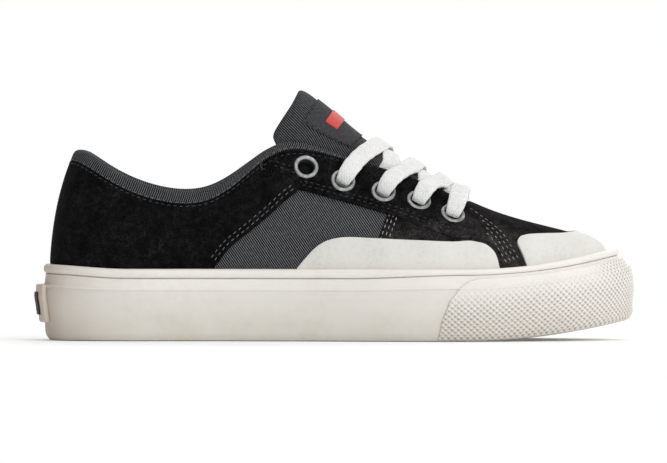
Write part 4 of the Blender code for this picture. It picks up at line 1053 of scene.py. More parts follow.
def patch_look(name, colours, sizes):
    made = Look(name, sheen=0.02, specular=0.08)
    flat = made.weave(0.0)
    warp, weft = (made.lines(flat, 0.00046, direction, 0.8) for direction in "XY")
    height = made.sum("MULTIPLY", warp, weft)
    yarn = made.noise(0.0012, 3.0)
    tint = made.ramp(made.mixed((0.6, height), (0.4, yarn)), (0.15, (0.020, 0.0205, 0.022)),
                     (0.75, (0.105, 0.106, 0.111)))
    return made.made(tint, yarn, 0.85, 0.95, height, 0.00012, 0.5)


def lining_look(name, colours, sizes):
    made = Look(name, sheen=0.02, specular=0.06)
    knit, patches = made.grains(0.00085), made.noise(0.006, 3.0)
    tint = made.shades(made.mixed((0.6, knit), (0.4, patches)), colours.lining, (0.2, 0.5), (0.7, 2.1))
    return made.made(tint, patches, 0.85, 0.97, knit, 0.0003, 0.5)


def rubber_look(name, colours, sizes):
    made = Look(name, specular=0.40)
    cloud, patches, grain = made.noise(0.030, 4.0), made.noise(0.0035, 4.0), made.noise(0.00045, 2.0)
    tint = made.ramp(made.mixed((0.62, cloud), (0.38, patches)),
                     (0.30, scaled(colours.rubber, 0.93, 0.012)), (0.50, tuple(colours.rubber)),
                     (0.72, scaled(colours.rubber, 1.03)))
    # Painted shade: the rubber is painted darker and warmer towards the floor, and darker and warmer
    # still at the back of the heel.
    high = made.axis(made.place, "Z")
    low = made.ramp(made.sum("MULTIPLY", made.mixed((1.0, high), (0.010, cloud)), 22.0),
                    (0.10, (0.80, 0.785, 0.745)), (0.50, (0.965, 0.96, 0.95)), (0.85, (1.0, 1.0, 1.0)))
    # Painted shade at the back of the heel.
    rear = made.sum("ADD", made.sum("MULTIPLY", made.axis(made.place, "X"), 1.0 / SOLE_LENGTH), 0.5)
    tint = made.tinted(tint, made.ramp(rear, (0.0, (0.71, 0.63, 0.57)), (0.045, (0.90, 0.87, 0.84)),
                                       (0.16, (1.0, 1.0, 1.0))))
    if name == "wall rubber":
        # Painted light and shade: the wall below the ledge is painted a little darker and the ledge a
        # darker line, the band above it lighter, and the seam under the strip a painted shadow.
        tint = made.tinted(tint, made.ramp(made.painted_light_map(), (0.800, 0.93), (0.812, 0.84), (0.822, 1.0),
                                           (0.985, 1.0), (1.0, 0.62)))
    if name == "textured rubber":
        # Painted shade under each pyramid's lower corner and a painted highlight on its upper faces,
        # read from the piece's map.
        tint = made.tinted(tint, made.ramp(made.painted_light_map(), (0.0, (0.34, 0.305, 0.28)),
                                           (0.5, (0.97, 0.965, 0.975)), (0.8, (1.0, 1.0, 1.0))))
    height = made.mixed((0.7, grain), (0.3, patches))
    return made.made(made.tinted(tint, low), patches, 0.46, 0.62, height, 0.00008, 0.4)


def guard_look(name, colours, sizes):
    made = Look(name, sheen=0.05, specular=0.25)
    cloud, patches, grain = made.noise(0.016, 4.0), made.noise(0.0021, 3.0), made.noise(0.00055, 3.0)
    tint = made.shades(made.mixed((0.40, cloud), (0.30, patches), (0.30, grain)), colours.guard,
                       (0.34, 0.88), (0.50, 1.0), (0.66, 1.06))
    return made.made(tint, patches, 0.70, 0.86, grain, 0.00016, 0.45)


def label_look(name, colours, sizes):
    made = Look(name, specular=0.1)
    grain, patches = made.noise(0.0004, 2.0), made.noise(0.004, 3.0)
    tint = made.shades(patches, colours.label, (0.3, 0.8), (0.7, 1.35))
    return made.made(tint, grain, 0.50, 0.66, grain, 0.00006, 0.4)


def tag_look(name, colours, sizes):
    made = Look(name, sheen=0.15, specular=0.3)
    ribs = made.lines(made.weave(0.0), 0.00042, "Y", 0.5)
    tint = made.shades(ribs, colours.tag, (0.1, 0.75), (0.8, 1.2))
    return made.made(tint, made.noise(0.002), 0.55, 0.75, ribs, 0.0001, 0.6)


def metal_look(name, colours, sizes):
    made = Look(name, metallic=1.0)
    wear, grain = made.noise(0.0022, 4.0), made.noise(0.00035, 2.0)
    tint = made.shades(wear, colours.metal, (0.30, 0.60), (0.55, 1.0), (0.72, 1.5))
    return made.made(tint, wear, 0.34, 0.52, grain, 0.00003, 0.3)


def lace_look(name, colours, sizes):
    made = Look(name, sheen=0.15, specular=0.2)
    left, right = (made.lines(made.weave(turn), 0.00085, "X", 0.4) for turn in (0.95, -0.95))
    braid = made.sum("MAXIMUM", left, right)
    fluff, patches = made.noise(0.0007, 2.0), made.noise(0.003, 3.0)
    height = made.mixed((0.6, braid), (0.4, fluff))
    tint = made.shades(made.mixed((0.45, height), (0.30, patches), (0.25, fluff)), colours.lace,
                       (0.22, 0.66), (0.46, 0.95), (0.70, 1.10))
    return made.made(tint, patches, 0.84, 0.95, height, 0.00035, 0.9)


def thread_maker(which, gloss):
    """What makes a thread's look, from the name of its colour and its least roughness."""
    def maker(name, colours, sizes):
        made = Look(name, specular=0.3)
        twist, patches = made.noise(0.0003, 1.0), made.noise(0.0018, 2.0)
        tint = made.shades(made.mixed((0.4, twist), (0.6, patches)), getattr(colours, which),
                           (0.30, 0.45), (0.70, 1.5))
        return made.made(tint, twist, gloss, 0.85, twist, 0.00008, 0.5)
    return maker


def floor_look(name, colours, sizes):
    made = Look(name, specular=0.0)
    cloud = made.noise(0.6, 2.0)
    tint = made.shades(cloud, colours.floor, (0.3, 0.985), (0.7, 1.0))
    made.shader.inputs["Emission Color"].default_value = (1.0, 1.0, 1.0, 1.0)
    made.shader.inputs["Emission Strength"].default_value = 0.08
    return made.made(tint, cloud, 0.9, 0.95)


MAKERS = {"black suede": suede_look, "worn suede": suede_look,
          "charcoal twill": canvas_look, "binding twill": canvas_look,
          "charcoal plain weave": patch_look, "knit lining": lining_look,
          "off-white rubber": rubber_look, "textured rubber": rubber_look, "wall rubber": rubber_look,
          "pale rubberised suede": guard_look, "dark label rubber": label_look,
          "red woven label": tag_look, "satin metal": metal_look, "white braid": lace_look,
          "light thread": thread_maker("thread", 0.5), "pale thread": thread_maker("pale_thread", 0.5),
          "dark thread": thread_maker("dim_thread", 0.5), "black thread": thread_maker("suede", 0.7),
          "pale floor": floor_look}


class SHOE_OT_stage(bpy.types.Operator):
    """Adds the floor, the studio light and the camera"""
    bl_idname = "shoe.stage"
    bl_label = "Stage"

    def execute(self, context):
        sizes = context.scene.shoe_sizes
        floor = primitive("circle", vertices=96, radius=0.8, fill_type="NGON", location=(0, 0, 0))
        floor.name = "floor"
        floor.data.materials.append(look("pale floor"))
        world = context.scene.world or bpy.data.worlds.new("studio")
        context.scene.world = world
        world.use_nodes = True
        nodes, links = world.node_tree.nodes, world.node_tree.links
        around = nodes.new("ShaderNodeTexCoord")
        split = nodes.new("ShaderNodeSeparateXYZ")
        fall = nodes.new("ShaderNodeMapRange")
        fall.interpolation_type = "SMOOTHSTEP"
        for key, value in (("From Min", -1.0), ("From Max", -0.06), ("To Min", 0.0), ("To Max", 1.0)):
            fall.inputs[key].default_value = value
        links.new(around.outputs["Generated"], split.inputs[0])
        links.new(split.outputs["X"], fall.inputs["Value"])
        nodes["Background"].inputs["Color"].default_value = (1.0, 1.0, 1.0, 1.0)
        links.new(fall.outputs[0], nodes["Background"].inputs["Strength"])
        for name, (place, size, power) in SOFTBOXES.items():
            lamp = bpy.data.lights.new(name, "AREA")
            lamp.size, lamp.energy = size, power
            made = bpy.data.objects.new(name, lamp)
            context.scene.collection.objects.link(made)
            made.location = place
            towards = Vector(LIGHT_AIM) - Vector(place)
            made.rotation_euler = towards.to_track_quat("-Z", "Y").to_euler()
        lens = bpy.data.cameras.new("camera")
        lens.lens = SENSOR_WIDTH * sizes.camera_distance / VIEW_WIDTH
        lens.clip_end = 100.0
        camera = bpy.data.objects.new("camera", lens)
        context.scene.collection.objects.link(camera)
        tilt = sizes.camera_height
        back = Vector((0.0, -np.cos(tilt), np.sin(tilt)))
        camera.location = Vector(VIEW_MIDDLE) + back * sizes.camera_distance
        camera.rotation_euler = (np.pi / 2 - tilt, 0.0, 0.0)
        context.scene.camera = camera
        context.scene.view_settings.view_transform = "Standard"
        return {"FINISHED"}


def wall_inset(share_up, x, step=1.0):
    """Inset of the side wall's outer face at a share of FOXING_HEIGHT, with its steps or without."""
    side, toe = open_spline([row[0] for row in WALL_PROFILE],
                            [row[1:] for row in WALL_PROFILE])(np.array(share_up)).T
    ledge = LEDGE_DEPTH * (smooth_step(share_up, *LEDGE_FACE) - smooth_step(share_up, *LEDGE_EDGE))
    ledge = step * (ledge + LIP_DEPTH * smooth_step(share_up, *LIP))
    side, toe = side + ledge, toe + ledge
    return FOXING_THICKNESS * (side + (toe - side) * toe_share(x))


def at_outline(lap, inset, height, heel=HEEL_LIFT):
    """A point at an inset from the outline and a height above the sprung underside."""
    plan = inset_outline(lap, inset)
    place = along_sole(plan[..., 0])
    upper_share = np.clip((height - BOARD_HEIGHT) / (FOXING_HEIGHT - BOARD_HEIGHT), 0.0, 1.0)
    strip_share = np.clip((height - FOXING_HEIGHT) / STRIP_HEIGHT, 0.0, 1.0)
    rise = TOE_RISE * toe_share(plan[..., 0]) + heel * (1.0 - smooth_step(place, 0.0, 0.15))
    narrow = 1.6 * smooth_step(place, *STRIP_NARROWS) - 0.6 * smooth_step(place, *STRIP_WIDENS)
    tip = 0.6 * strip_share * smooth_step(place, *STRIP_TIP)
    rise = rise + TOE_LIFT * ((1.0 - strip_share) * narrow + tip)
    z = height + spring(plan[..., 0]) + rise * upper_share
    return np.concatenate((plan, z[..., None]), -1)


class SHOE_OT_side_wall(bpy.types.Operator):
    """Builds the rubber side wall and the strip round its top"""
    bl_idname = "shoe.side_wall"
    bl_label = "Side wall and strip"

    def execute(self, context):
        count = SOLE_COUNT
        laps = np.arange(count) / count
        x = outline(laps)[:, 0]
        setback = TOE_SETBACK * toe_share(x)
        shares = np.concatenate((np.linspace(WALL_PROFILE[0][0], 0.79, 26), np.linspace(0.80, 0.86, 16),
                                 np.linspace(0.870, 1.0, 10)))
        columns = [at_outline(laps, wall_inset(row, x), np.full(count, row * FOXING_HEIGHT))
                   for row in shares]
        for inset, height in ((FOXING_THICKNESS, FOXING_HEIGHT), (FOXING_THICKNESS, BOARD_HEIGHT),
                              (FOXING_FOOT, BOARD_HEIGHT), (FOXING_FOOT, 0.0004)):
            columns.append(at_outline(laps, inset + setback, np.full(count, height)))
        # The painted shade map: each row's own height, held just below the painted seam shadow where the
        # bumper is.
        bands = np.tile(np.concatenate((shares, np.full(4, 0.9))), count)
        most = 1.0 - 0.011 * smooth_step(along_sole(x), 0.64, 0.78)
        bands = np.minimum(bands, np.repeat(most, len(columns)))
        piece = ring_piece("side_wall", columns, True, [look("wall rubber")],
                           np.stack((bands, bands), -1))
        fitted(piece, "sole_rubber", "foxing", angle=30)

        turns = np.linspace(-0.5, 0.5, 25) * np.pi
        rows = [(FOXING_THICKNESS - STRIP_THICKNESS * (0.30 + 0.70 * np.cos(turn) ** 0.86),
                 FOXING_HEIGHT + 0.00005
                 + STRIP_HEIGHT * (0.5 + 0.5 * np.sign(turn) * np.abs(np.sin(turn)) ** 0.92))
                for turn in turns]
        rows += [(FOXING_THICKNESS + 0.0014, FOXING_HEIGHT + STRIP_HEIGHT - 0.0002),
                 (FOXING_THICKNESS + 0.0014, FOXING_HEIGHT + GAP)]
        backs = [1.0] * len(turns) + [1.35] * 2
        columns = [at_outline(laps, inset + back * setback, np.full(count, height))
                   for back, (inset, height) in zip(backs, rows)]
        piece = ring_piece("top_strip", columns, True, [look("off-white rubber")])
        fitted(piece, "sole_rubber", "foxing_strip", angle=50)
        return {"FINISHED"}


class SHOE_OT_bumper(bpy.types.Operator):
    """Builds the toe bumper with its pyramid texture"""
    bl_idname = "shoe.bumper"
    bl_label = "Toe bumper"

    def execute(self, context):
        sizes = context.scene.shoe_sizes
        fine = np.linspace(sole_lap(0.60, True), sole_lap(0.60, False), 2001)
        run = lengths_along(outline(fine))
        run -= np.interp(TOE_LAP, fine, run)
        columns, rows = BUMPER_COUNTS
        heights = np.linspace(0.012, 0.965, rows)
        outer, inner, painted_light = [], [], []
        for height in heights:
            rear = np.interp(height, *zip(*BUMPER_REAR))
            first, last = (np.interp(sole_lap(rear, side), fine, run) for side in (True, False))
            ends = np.array((0.0, 0.00012, 0.0003, 0.0006))
            along = np.concatenate((first + ends, np.linspace(first + 0.001, last - 0.001, columns - 8),
                                    (last - ends)[::-1]))
            laps = np.interp(along, run, fine)
            x = outline(laps)[:, 0]
            near = np.minimum(along - first, last - along) / BUMPER_ROUND_END
            top = np.minimum(height - heights[0], heights[-1] - height)
            top = top * FOXING_HEIGHT / BUMPER_ROUND_TOP
            edge = (np.sqrt(1.0 - (1.0 - np.clip(near, 0, 1)) ** 2)
                    * np.sqrt(1.0 - (1.0 - np.clip(top, 0, 1)) ** 2))
            end, toe = (np.interp(height, [row[0] for row in BUMPER_PROFILE],
                                  [row[k] for row in BUMPER_PROFILE]) for k in (1, 2))
            proud = BUMPER_THICKNESS * (end + (toe - end) * toe_share(x)) * (0.10 + 0.90 * edge)
            # Pyramids lie where two slanting sets of grooves cross, and fade towards the top.
            p = along / sizes.texture_long + height * FOXING_HEIGHT / sizes.texture_high
            q = along / sizes.texture_long - height * FOXING_HEIGHT / sizes.texture_high
            pyramid = np.minimum(*(1.0 - np.abs(2.0 * (slant % 1.0) - 1.0) for slant in (p, q)))
            fade = 1.0 - (1.0 - smooth_step(along_sole(x), 0.93, 0.99)) * smooth_step(
                height + 0.10 * smooth_step(-along_sole(x), -0.85, -0.70), 0.50, 0.95)
            proud += sizes.texture_depth * (pyramid - 0.62) * np.sqrt(fade) * edge
            # At the toe it stands further out, most of all at its foot.
            proud += toe_share(x) * (0.0011 - 0.0012 * smooth_step(height, 0.72, 0.965)
                                     + 0.0012 * (1.0 - smooth_step(height, 0.05, 0.25)))
            # The painted light map: painted shade under each pyramid's lower corner, painted highlight
            # on its upper faces.
            below = (q % 1.0) - (p % 1.0)
            aside = np.abs((p % 1.0) + (q % 1.0) - 1.0)
            dark = smooth_step(below, 0.25, 0.90) * (1.0 - 0.7 * aside) + 0.25 * (1.0 - pyramid)
            light = smooth_step(-below, -0.15, 0.35) * pyramid
            painted_light.append(np.clip(0.5 + (0.45 * light - 0.62 * dark) * fade * edge, 0.0, 1.0))
            level = np.full(columns, height * FOXING_HEIGHT)
            outer.append(at_outline(laps, wall_inset(height, x, 1.0 - toe_share(x)) - proud, level))
            inner.append(at_outline(laps, wall_inset(height, x) + 0.0002, level))
        backs = inner[::-12] + [inner[0]]
        painted_light = np.stack(painted_light + [np.ones(columns)] * len(backs), 1).ravel()
        piece = ring_piece("bumper", outer + backs, False, [look("textured rubber")],
                           np.stack((painted_light, painted_light), -1))
        fitted(piece, "sole_rubber", "toe_bumper", angle=28)
        return {"FINISHED"}


def heel_block(name, margin, lift, thickness, material, round_edge):
    """A plate that follows the back of the side wall, margin smaller all round than the heel tab."""
    half = HEEL_TAB_HALF - 1.5 * margin / GIRTH
    count, rows = TAB_COUNTS
    laps = np.linspace(-half, half, count)
    x = outline(laps)[:, 0]
    widest = wall_inset(WALL_PROFILE[4][0], x)
    outer, inner = [], []
    for level in np.linspace(TAB_BASE + margin, TAB_BASE + TAB_HEIGHT - margin, rows):
        part = level / FOXING_HEIGHT
        face = widest if part > WALL_PROFILE[4][0] else wall_inset(part, x)
        outer.append(at_outline(laps, face - lift - thickness, np.full(count, level), 0.0))
        inner.append(at_outline(laps, face - lift, np.full(count, level), 0.0))
    return bevelled(ring_piece(name, outer + inner[::-1], False, [material]), round_edge, 3)


class SHOE_OT_heel_tab(bpy.types.Operator):
    """Builds the heel tab and its plain dark label"""
    bl_idname = "shoe.heel_tab"
    bl_label = "Heel tab"

    def execute(self, context):
        tab = heel_block("heel_plate", 0.0, -0.0002, TAB_THICKNESS + 0.0004,
                         look("off-white rubber"), 0.0008)
        fitted(tab, "sole_rubber", "heel_tab")
        label = heel_block("heel_patch", LABEL_MARGIN, TAB_THICKNESS - 0.0002, LABEL_THICKNESS + 0.0006,
                           look("dark label rubber"), 0.00035)
        fitted(label, "heel_label", "heel_label")
        return {"FINISHED"}


def sole_plate(name, inset, low, high, material, step, dish=0.0):
    """A layer of the sole inside the outline, sprung at the toe."""
    laps = np.arange(240) / 240
    loop = inset_outline(laps, inset + TOE_SETBACK * toe_share(outline(laps)[:, 0]))
    points, faces = triangulate([loop], step)
    lift = spring(points[:, 0])
    rim = dish * (1.0 - smooth_step(distance_to(points, loop), 0.0, 0.014))
    return mesh_piece(name, *two_faced(np.column_stack((points, high + lift + rim)),
                                       np.column_stack((points, low + lift)), faces), [material])


class SHOE_OT_soles(bpy.types.Operator):
    """Builds the outsole with its grooves, and the insole, and finishes the midsole"""
    bl_idname = "shoe.soles"
    bl_label = "Outsole and insole"

    def execute(self, context):
        outsole = sole_plate("outsole_tread", FOXING_FOOT + GAP, 0.0, OUTSOLE_THICKNESS,
                             look("off-white rubber"), 0.006)
        blocks = []
        for start, end in GROOVED:
            for place in np.arange(start, end, GROOVE_PITCH / SOLE_LENGTH):
                x = HEEL_X + place * SOLE_LENGTH
                slope = (spring(x + 0.002) - spring(x - 0.002)) / 0.004
                reach = 0.5 * sole_width(place) - FOXING_FOOT - 0.011
                reach -= 0.016 * smooth_step(place, 0.80, 0.95)
                block = primitive("cube", size=1.0, location=(x, 0.0, spring(x) - 0.0009),
                                  rotation=(0.0, -np.arctan(slope), 0.0))
                block.scale = (GROOVE_WIDTH, 2.0 * reach, 2.0 * GROOVE_DEPTH + 0.0018)
                blocks.append(block)
        only(*blocks)
        bpy.ops.object.join()
        bpy.ops.object.transform_apply(location=True, rotation=True, scale=True)
        fitted(bevelled(cut(outsole, context.object), 0.0003, 1), "sole_rubber", "outsole", angle=30)
        insole = sole_plate("footbed", FOXING_THICKNESS + UPPER_TUCK + TOE_TUCK + UPPER_WALL + GAP,
                            BOARD_HEIGHT + GAP, BOARD_HEIGHT + GAP + INSOLE_THICKNESS,
                            look("knit lining"), 0.0045, 0.0022)
        fitted(bevelled(insole, 0.001), "insole", "insole")
        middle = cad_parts["midsole"]
        middle.data.materials.clear()
        middle.data.materials.append(look("off-white rubber"))
        return {"FINISHED"}


def shell_section(lap, layers):
    """Points round the upper's wall at each lap: up its outer face, over the lip and down inside."""
    count, rows = len(lap), []
    top = rise_at(lap, 0.5 * wall(lap, 0.97))
    half = 0.5 * wall(lap, top)
    for part in layers:
        rows.append(lifted(lap, top * part, np.zeros(count)))
    for turn in np.linspace(0.0, np.pi, 13)[1:-1]:
        rise = rise_at(lap, half * (1.0 - np.sin(turn)))
        rows.append(surface(lap, rise) + normal(lap, np.minimum(rise, 0.999))
                    * (half * (np.cos(turn) - 1.0))[:, None])
    for part in layers[::-1]:
        inner = lifted(lap, top * part, -wall(lap, top * part))
        inner[:, 2] = np.maximum(inner[:, 2], BOARD_HEIGHT + GAP + spring(inner[:, 0]))
        rows.append(inner)
    return rows


class SHOE_OT_shell(bpy.types.Operator):
    """Builds the hollow upper with its rounded top edge, lining and eyelet holes"""
    bl_idname = "shoe.shell"
    bl_label = "Upper"

    def execute(self, context):
        laps = np.arange(SHELL_COUNT) / SHELL_COUNT
        layers = np.linspace(0.0, 1.0, 44) ** 0.9
        rows = shell_section(laps, layers)
        weave = np.stack(rows, 1).reshape(-1, 3)[:, [0, 2]]
        piece = ring_piece("upper_shell", rows, True, [look("charcoal twill"), look("knit lining")],
                           weave, inside_out=True)
        inner_from = len(layers) + 7  # the row past the lip's crest, where the lining starts
        for face in piece.data.polygons:
            if max(v % len(rows) for v in face.vertices) > inner_from:
                face.material_index = 1
        cutters = []
        for lateral in (True, False):
            for lap, rise in EYELETS[lateral]:
                up = Vector(normal(lap, rise))
                cutters.append(primitive(
                    "cylinder", vertices=HOLE_SIDES, radius=HOLE_RADIUS, depth=0.014,
                    location=Vector(surface(lap, rise)), rotation=up.to_track_quat("Z", "Y").to_euler()))
        only(*cutters)
        bpy.ops.object.join()
        cut(piece, context.object)
        fitted(piece, "canvas", "upper", angle=60)
        return {"FINISHED"}


class SHOE_OT_panels(bpy.types.Operator):
    """Cuts and lays the vamp, quarter, eyestays, side guards and toe cap"""
    bl_idname = "shoe.panels"
    bl_label = "Panels"

    def execute(self, context):
        sizes = context.scene.shoe_sizes
        thick = sizes.panel_thickness
        lateral, medial = vamp_line(True), vamp_line(False)
        foot = strip_line(medial[0][0], lateral[0][0])
        throat = edge_line(lateral[-1][0], medial[-1][0], lambda _: 0.0003)
        vamp = panel("vamp", [joined(lateral[::-1], foot[::-1], medial, throat[::-1])],
                     look("worn suede"), 0.00005, sizes.vamp_thickness, 0.0026, 0.0001)
        fitted(vamp, "suede")
        front_l, top_l = quarter_lines(True)
        front_m, top_m = quarter_lines(False)
        # The quarter's top edge runs in under the eyestay.
        top_l[1:-2] = shifted(top_l, -0.0008)[1:-2]
        top_m[1:-2] = shifted(top_m, 0.0008)[1:-2]
        collar = edge_line(top_l[-1][0], top_m[-1][0], lambda _: BINDING_WIDTH - 0.0006)
        foot = strip_line(front_m[0][0], front_l[0][0])
        quarter = panel("quarter", [joined(foot, front_l, top_l, collar, top_m[::-1], front_m[::-1])],
                        look("black suede"), 0.0001, thick)
        fitted(quarter, "suede", "quarter_panel")
        rear = cap_line()
        cap = panel("toe_cover", [joined(rear, strip_line(rear[-1][0], rear[0][0]))],
                    look("pale rubberised suede"), 0.0003, thick + 0.0008)
        fitted(cap, "guard", "toe_cap")
        for side, word in SIDE_WORDS:
            low, under, rear, ahead = stay_lines(side)
            foot = strip_line(ahead[-1][0], low[0][0])
            throat = stay_throat(side, rear, ahead)
            holes = [circle_on(lap, rise, HOLE_RADIUS) for lap, rise in EYELETS[side]]
            stay = panel("stay_" + word, [joined(foot, low, under, rear, throat, ahead), *holes],
                         look("worn suede"), 0.0002, thick + 0.0002)
            fitted(stay, "suede", "eyestay_" + word)
            upper = curve_through(placed(GUARD, side))
            guard = panel("guard_" + word, [joined(upper, strip_line(upper[-1][0], upper[0][0]))],
                          look("pale rubberised suede"), 0.0002, thick)
            fitted(guard, "guard", "side_guard_" + word)
        return {"FINISHED"}


class SHOE_OT_binding(bpy.types.Operator):
    """Folds the padded cloth binding over the collar's edge"""
    bl_idname = "shoe.binding"
    bl_label = "Collar binding"

    def execute(self, context):
        thick = context.scene.shoe_sizes.binding_thickness
        count, half_rows = BINDING_COUNTS
        laps = np.linspace(*binding_ends(), count)
        width = binding_depth(1.0 - np.abs(np.linspace(-1.0, 1.0, count)))
        half = 0.5 * wall(laps, 0.97)
        crown = 0.0006 + thick
        rows = []
        for sign in (1.0, -1.0):
            for part in np.linspace(0.0, 1.0, half_rows)[::int(sign)]:
                outer_end, inner_end = width - half, np.full(count, 0.0050)
                at = part * (outer_end + np.pi * half + inner_end)
                turn = np.clip((at - outer_end) / half, 0.0, np.pi)
                depth = half * (1.0 - np.sin(turn)) + np.clip(outer_end - at, 0, None)
                depth += np.clip(at - outer_end - np.pi * half, 0, None)
                rim = np.sqrt(np.clip(1.0 - (2.0 * part - 1.0) ** 10, 0.0, 1.0))
                out = (crown * rim if sign > 0 else 0.0) + 0.0001
                lift = half * (np.cos(turn) - 1.0) + out * np.cos(turn)
                over = out * np.sin(turn)
                rise = rise_at(laps, np.maximum(depth, 0.0))
                up = unit(surface(laps, 1.0) - surface(laps, 0.985))
                rows.append(surface(laps, rise) + normal(laps, np.minimum(rise, 0.999)) * lift[:, None]
                            + up * over[:, None])
        along = lengths_along(surface(laps, 1.0))
        across = np.linspace(0.0, 0.018, half_rows)
        across = np.concatenate((across, across[::-1]))
        weave = np.stack((np.repeat(along, len(rows)), np.tile(across, count)), -1)
        weave = turned(weave, BINDING_GRAIN)
        piece = ring_piece("collar_cloth", rows, False, [look("binding twill")], weave, inside_out=True)
        fitted(piece, "canvas", "collar_binding", angle=60)
        return {"FINISHED"}


def stitch_shape():
    """One stitch as a small closed capsule along X, made once and copied for every stitch."""
    ball = primitive("uv_sphere", segments=6, ring_count=5, radius=0.5, location=(0, 0, 0),
                     rotation=(0.0, np.pi / 2, 0.0))
    bpy.ops.object.transform_apply(location=True, rotation=True, scale=True)
    points = np.array([v.co for v in ball.data.vertices])
    faces = [tuple(f.vertices) for f in ball.data.polygons]
    bpy.data.objects.remove(ball)
    points[:, 0] = np.sign(points[:, 0]) * np.abs(2.0 * points[:, 0]) ** 0.7 * 0.5
    return points, faces


def stitched(name, rows, thread, slot):
    """Rows of stitches: each row gives points, outward normals, and how far over them it lies."""
    sizes = bpy.context.scene.shoe_sizes
    shape, shape_faces = stitch_shape()
    points, faces = [], []
    for line, ups, lift in rows:
        lengths = lengths_along(line)
        count = max(1, int(lengths[-1] / sizes.stitch_pitch))
        at = (np.arange(count) + 0.5) * lengths[-1] / count
        behind, middle, ahead = (read_at(at + reach, lengths, line) for reach in (-0.0008, 0.0, 0.0008))
        along = unit(ahead - behind)
        across = unit(np.cross(read_at(at, lengths, ups), along))
        up = np.cross(along, across)
        # Each stitch slants a little across its row, as a lockstitch does.
        along, across = along + 0.10 * across, across - 0.10 * along
        for k in range(count):
            placed_points = (middle[k] + up[k] * lift
                             + shape[:, :1] * along[k] * sizes.stitch_length
                             + shape[:, 1:2] * across[k] * sizes.stitch_width
                             + shape[:, 2:] * up[k] * 0.8 * sizes.stitch_width)
            faces += [tuple(i + len(points) * len(shape) for i in face) for face in shape_faces]
            points.append(placed_points)
    return fitted(mesh_piece(name, np.vstack(points), faces, [look(thread)]), slot, angle=80)


def on_upper(line, lift):
    """A row of stitches along a (lap, rise) line of the upper."""
    lap, rise = np.asarray(line).T
    rise = np.clip(rise, 0.0, 0.999)
    return surface(lap, rise), normal(lap, rise), lift - float(lip_drop(lap, rise).mean())


class SHOE_OT_stitches(bpy.types.Operator):
    """Sews the rows of stitches on the panels and the binding"""
    bl_idname = "shoe.stitches"
    bl_label = "Stitches"

    def execute(self, context):
        sizes = context.scene.shoe_sizes
        top = sizes.panel_thickness + 0.0001
        light, pale, dim = [], [], []
        for lateral in (True, False):
            sign = 1.0 if lateral else -1.0
            front, _ = quarter_lines(lateral)
            for distance in QUARTER_ROWS:
                light.append(on_upper(shifted(front, sign * distance)[2:], top))
            _, under, rear, ahead = stay_lines(lateral)
            for distance in STAY_ROWS:
                dim.append(on_upper(shifted(np.vstack((under, rear[1:])), -sign * distance)[2:-4], top))
            for distance, start in STAY_FRONT_ROWS:
                row = shifted(ahead, -sign * distance)
                pale.append(on_upper(row[int(start * len(row)):-2], top))
            dim.append(on_upper(stay_throat(lateral, rear, ahead, STAY_THROAT_ROW), top))
            seam = vamp_line(lateral)
            for distance in VAMP_ROWS:
                pale.append(on_upper(shifted(seam, -sign * distance)[10:-6], sizes.vamp_thickness))
        row = edge_line(*binding_ends(), lambda part: binding_depth(1.0 - abs(2 * part - 1.0)) - 0.0010)
        light.append(on_upper(row, sizes.binding_thickness + 0.0006))
        start, end = (quarter_lines(side)[1][-1][0] for side in (False, True))
        row = edge_line(start, end, lambda _: BINDING_WIDTH + 0.0009)
        dim.append(on_upper(row, top))
        for word, rows in (("light", light), ("pale", pale), ("dark", dim)):
            stitched(word + "_stitches", rows, word + " thread", "suede")
        return {"FINISHED"}


def tongue_rows():
    """For each row of the tongue: lateral wing, edge and shoulder, ridge, and the same medially."""
    rows = []
    for place, edge_x, rise, wing, ridge_x, ridge_z in TONGUE_ROWS:
        found = {}
        for side in (True, False):
            lap = edge_lap(edge_x, side)
            low = min(rise, float(rise_at(lap, wing)))
            shift = np.array(TONGUE_TOP_SHIFT) * (1.0, 1.0 if side else -1.0, 1.0) * (place == 1.0)
            found[side] = [lifted(lap, at, -float(wall(lap, at)) - TONGUE_CLEARANCE) + shift
                           for at in (rise, low)]
        ridge = np.array((HEEL_X + ridge_x * SOLE_LENGTH, 0.0, ridge_z * TONGUE_HEIGHT))
        ridge[1] = 0.5 * (found[True][0][1] + found[False][0][1])
        shoulders = [ridge + (found[side][0] - ridge) * TONGUE_SHOULDER for side in (True, False)]
        rows.append((found[True][1], found[True][0], shoulders[0], ridge,
                     shoulders[1], found[False][0], found[False][1]))
    return np.array(rows)


CROSS_KNOTS = np.array((-1.0, -LACE_EDGE, -0.36, 0.0, 0.36, LACE_EDGE, 1.0))
TONGUE_KNOTS = [row[0] for row in TONGUE_ROWS]
TONGUE_ROW_POINTS = tongue_rows()


def tongue_grid(places, acrosses):
    """The tongue's upper face on a grid: place 0 at its front to 1 at its top, across -1 to 1."""
    rows = open_spline(TONGUE_KNOTS, TONGUE_ROW_POINTS.reshape(-1, 21))(np.asarray(places))
    return np.array([open_spline(CROSS_KNOTS, row)(np.asarray(acrosses))
                     for row in rows.reshape(-1, 7, 3)])


def tongue_ups(places, acrosses):
    """The tongue's outward normals on a grid."""
    step = 0.01
    places, acrosses = np.asarray(places), np.asarray(acrosses)
    along = (tongue_grid(np.minimum(places + step, 1.0), acrosses)
             - tongue_grid(np.maximum(places - step, 0.0), acrosses))
    over = (tongue_grid(places, np.minimum(acrosses + step, 1.0))
            - tongue_grid(places, np.maximum(acrosses - step, -1.0)))
    return unit(np.cross(over, along))


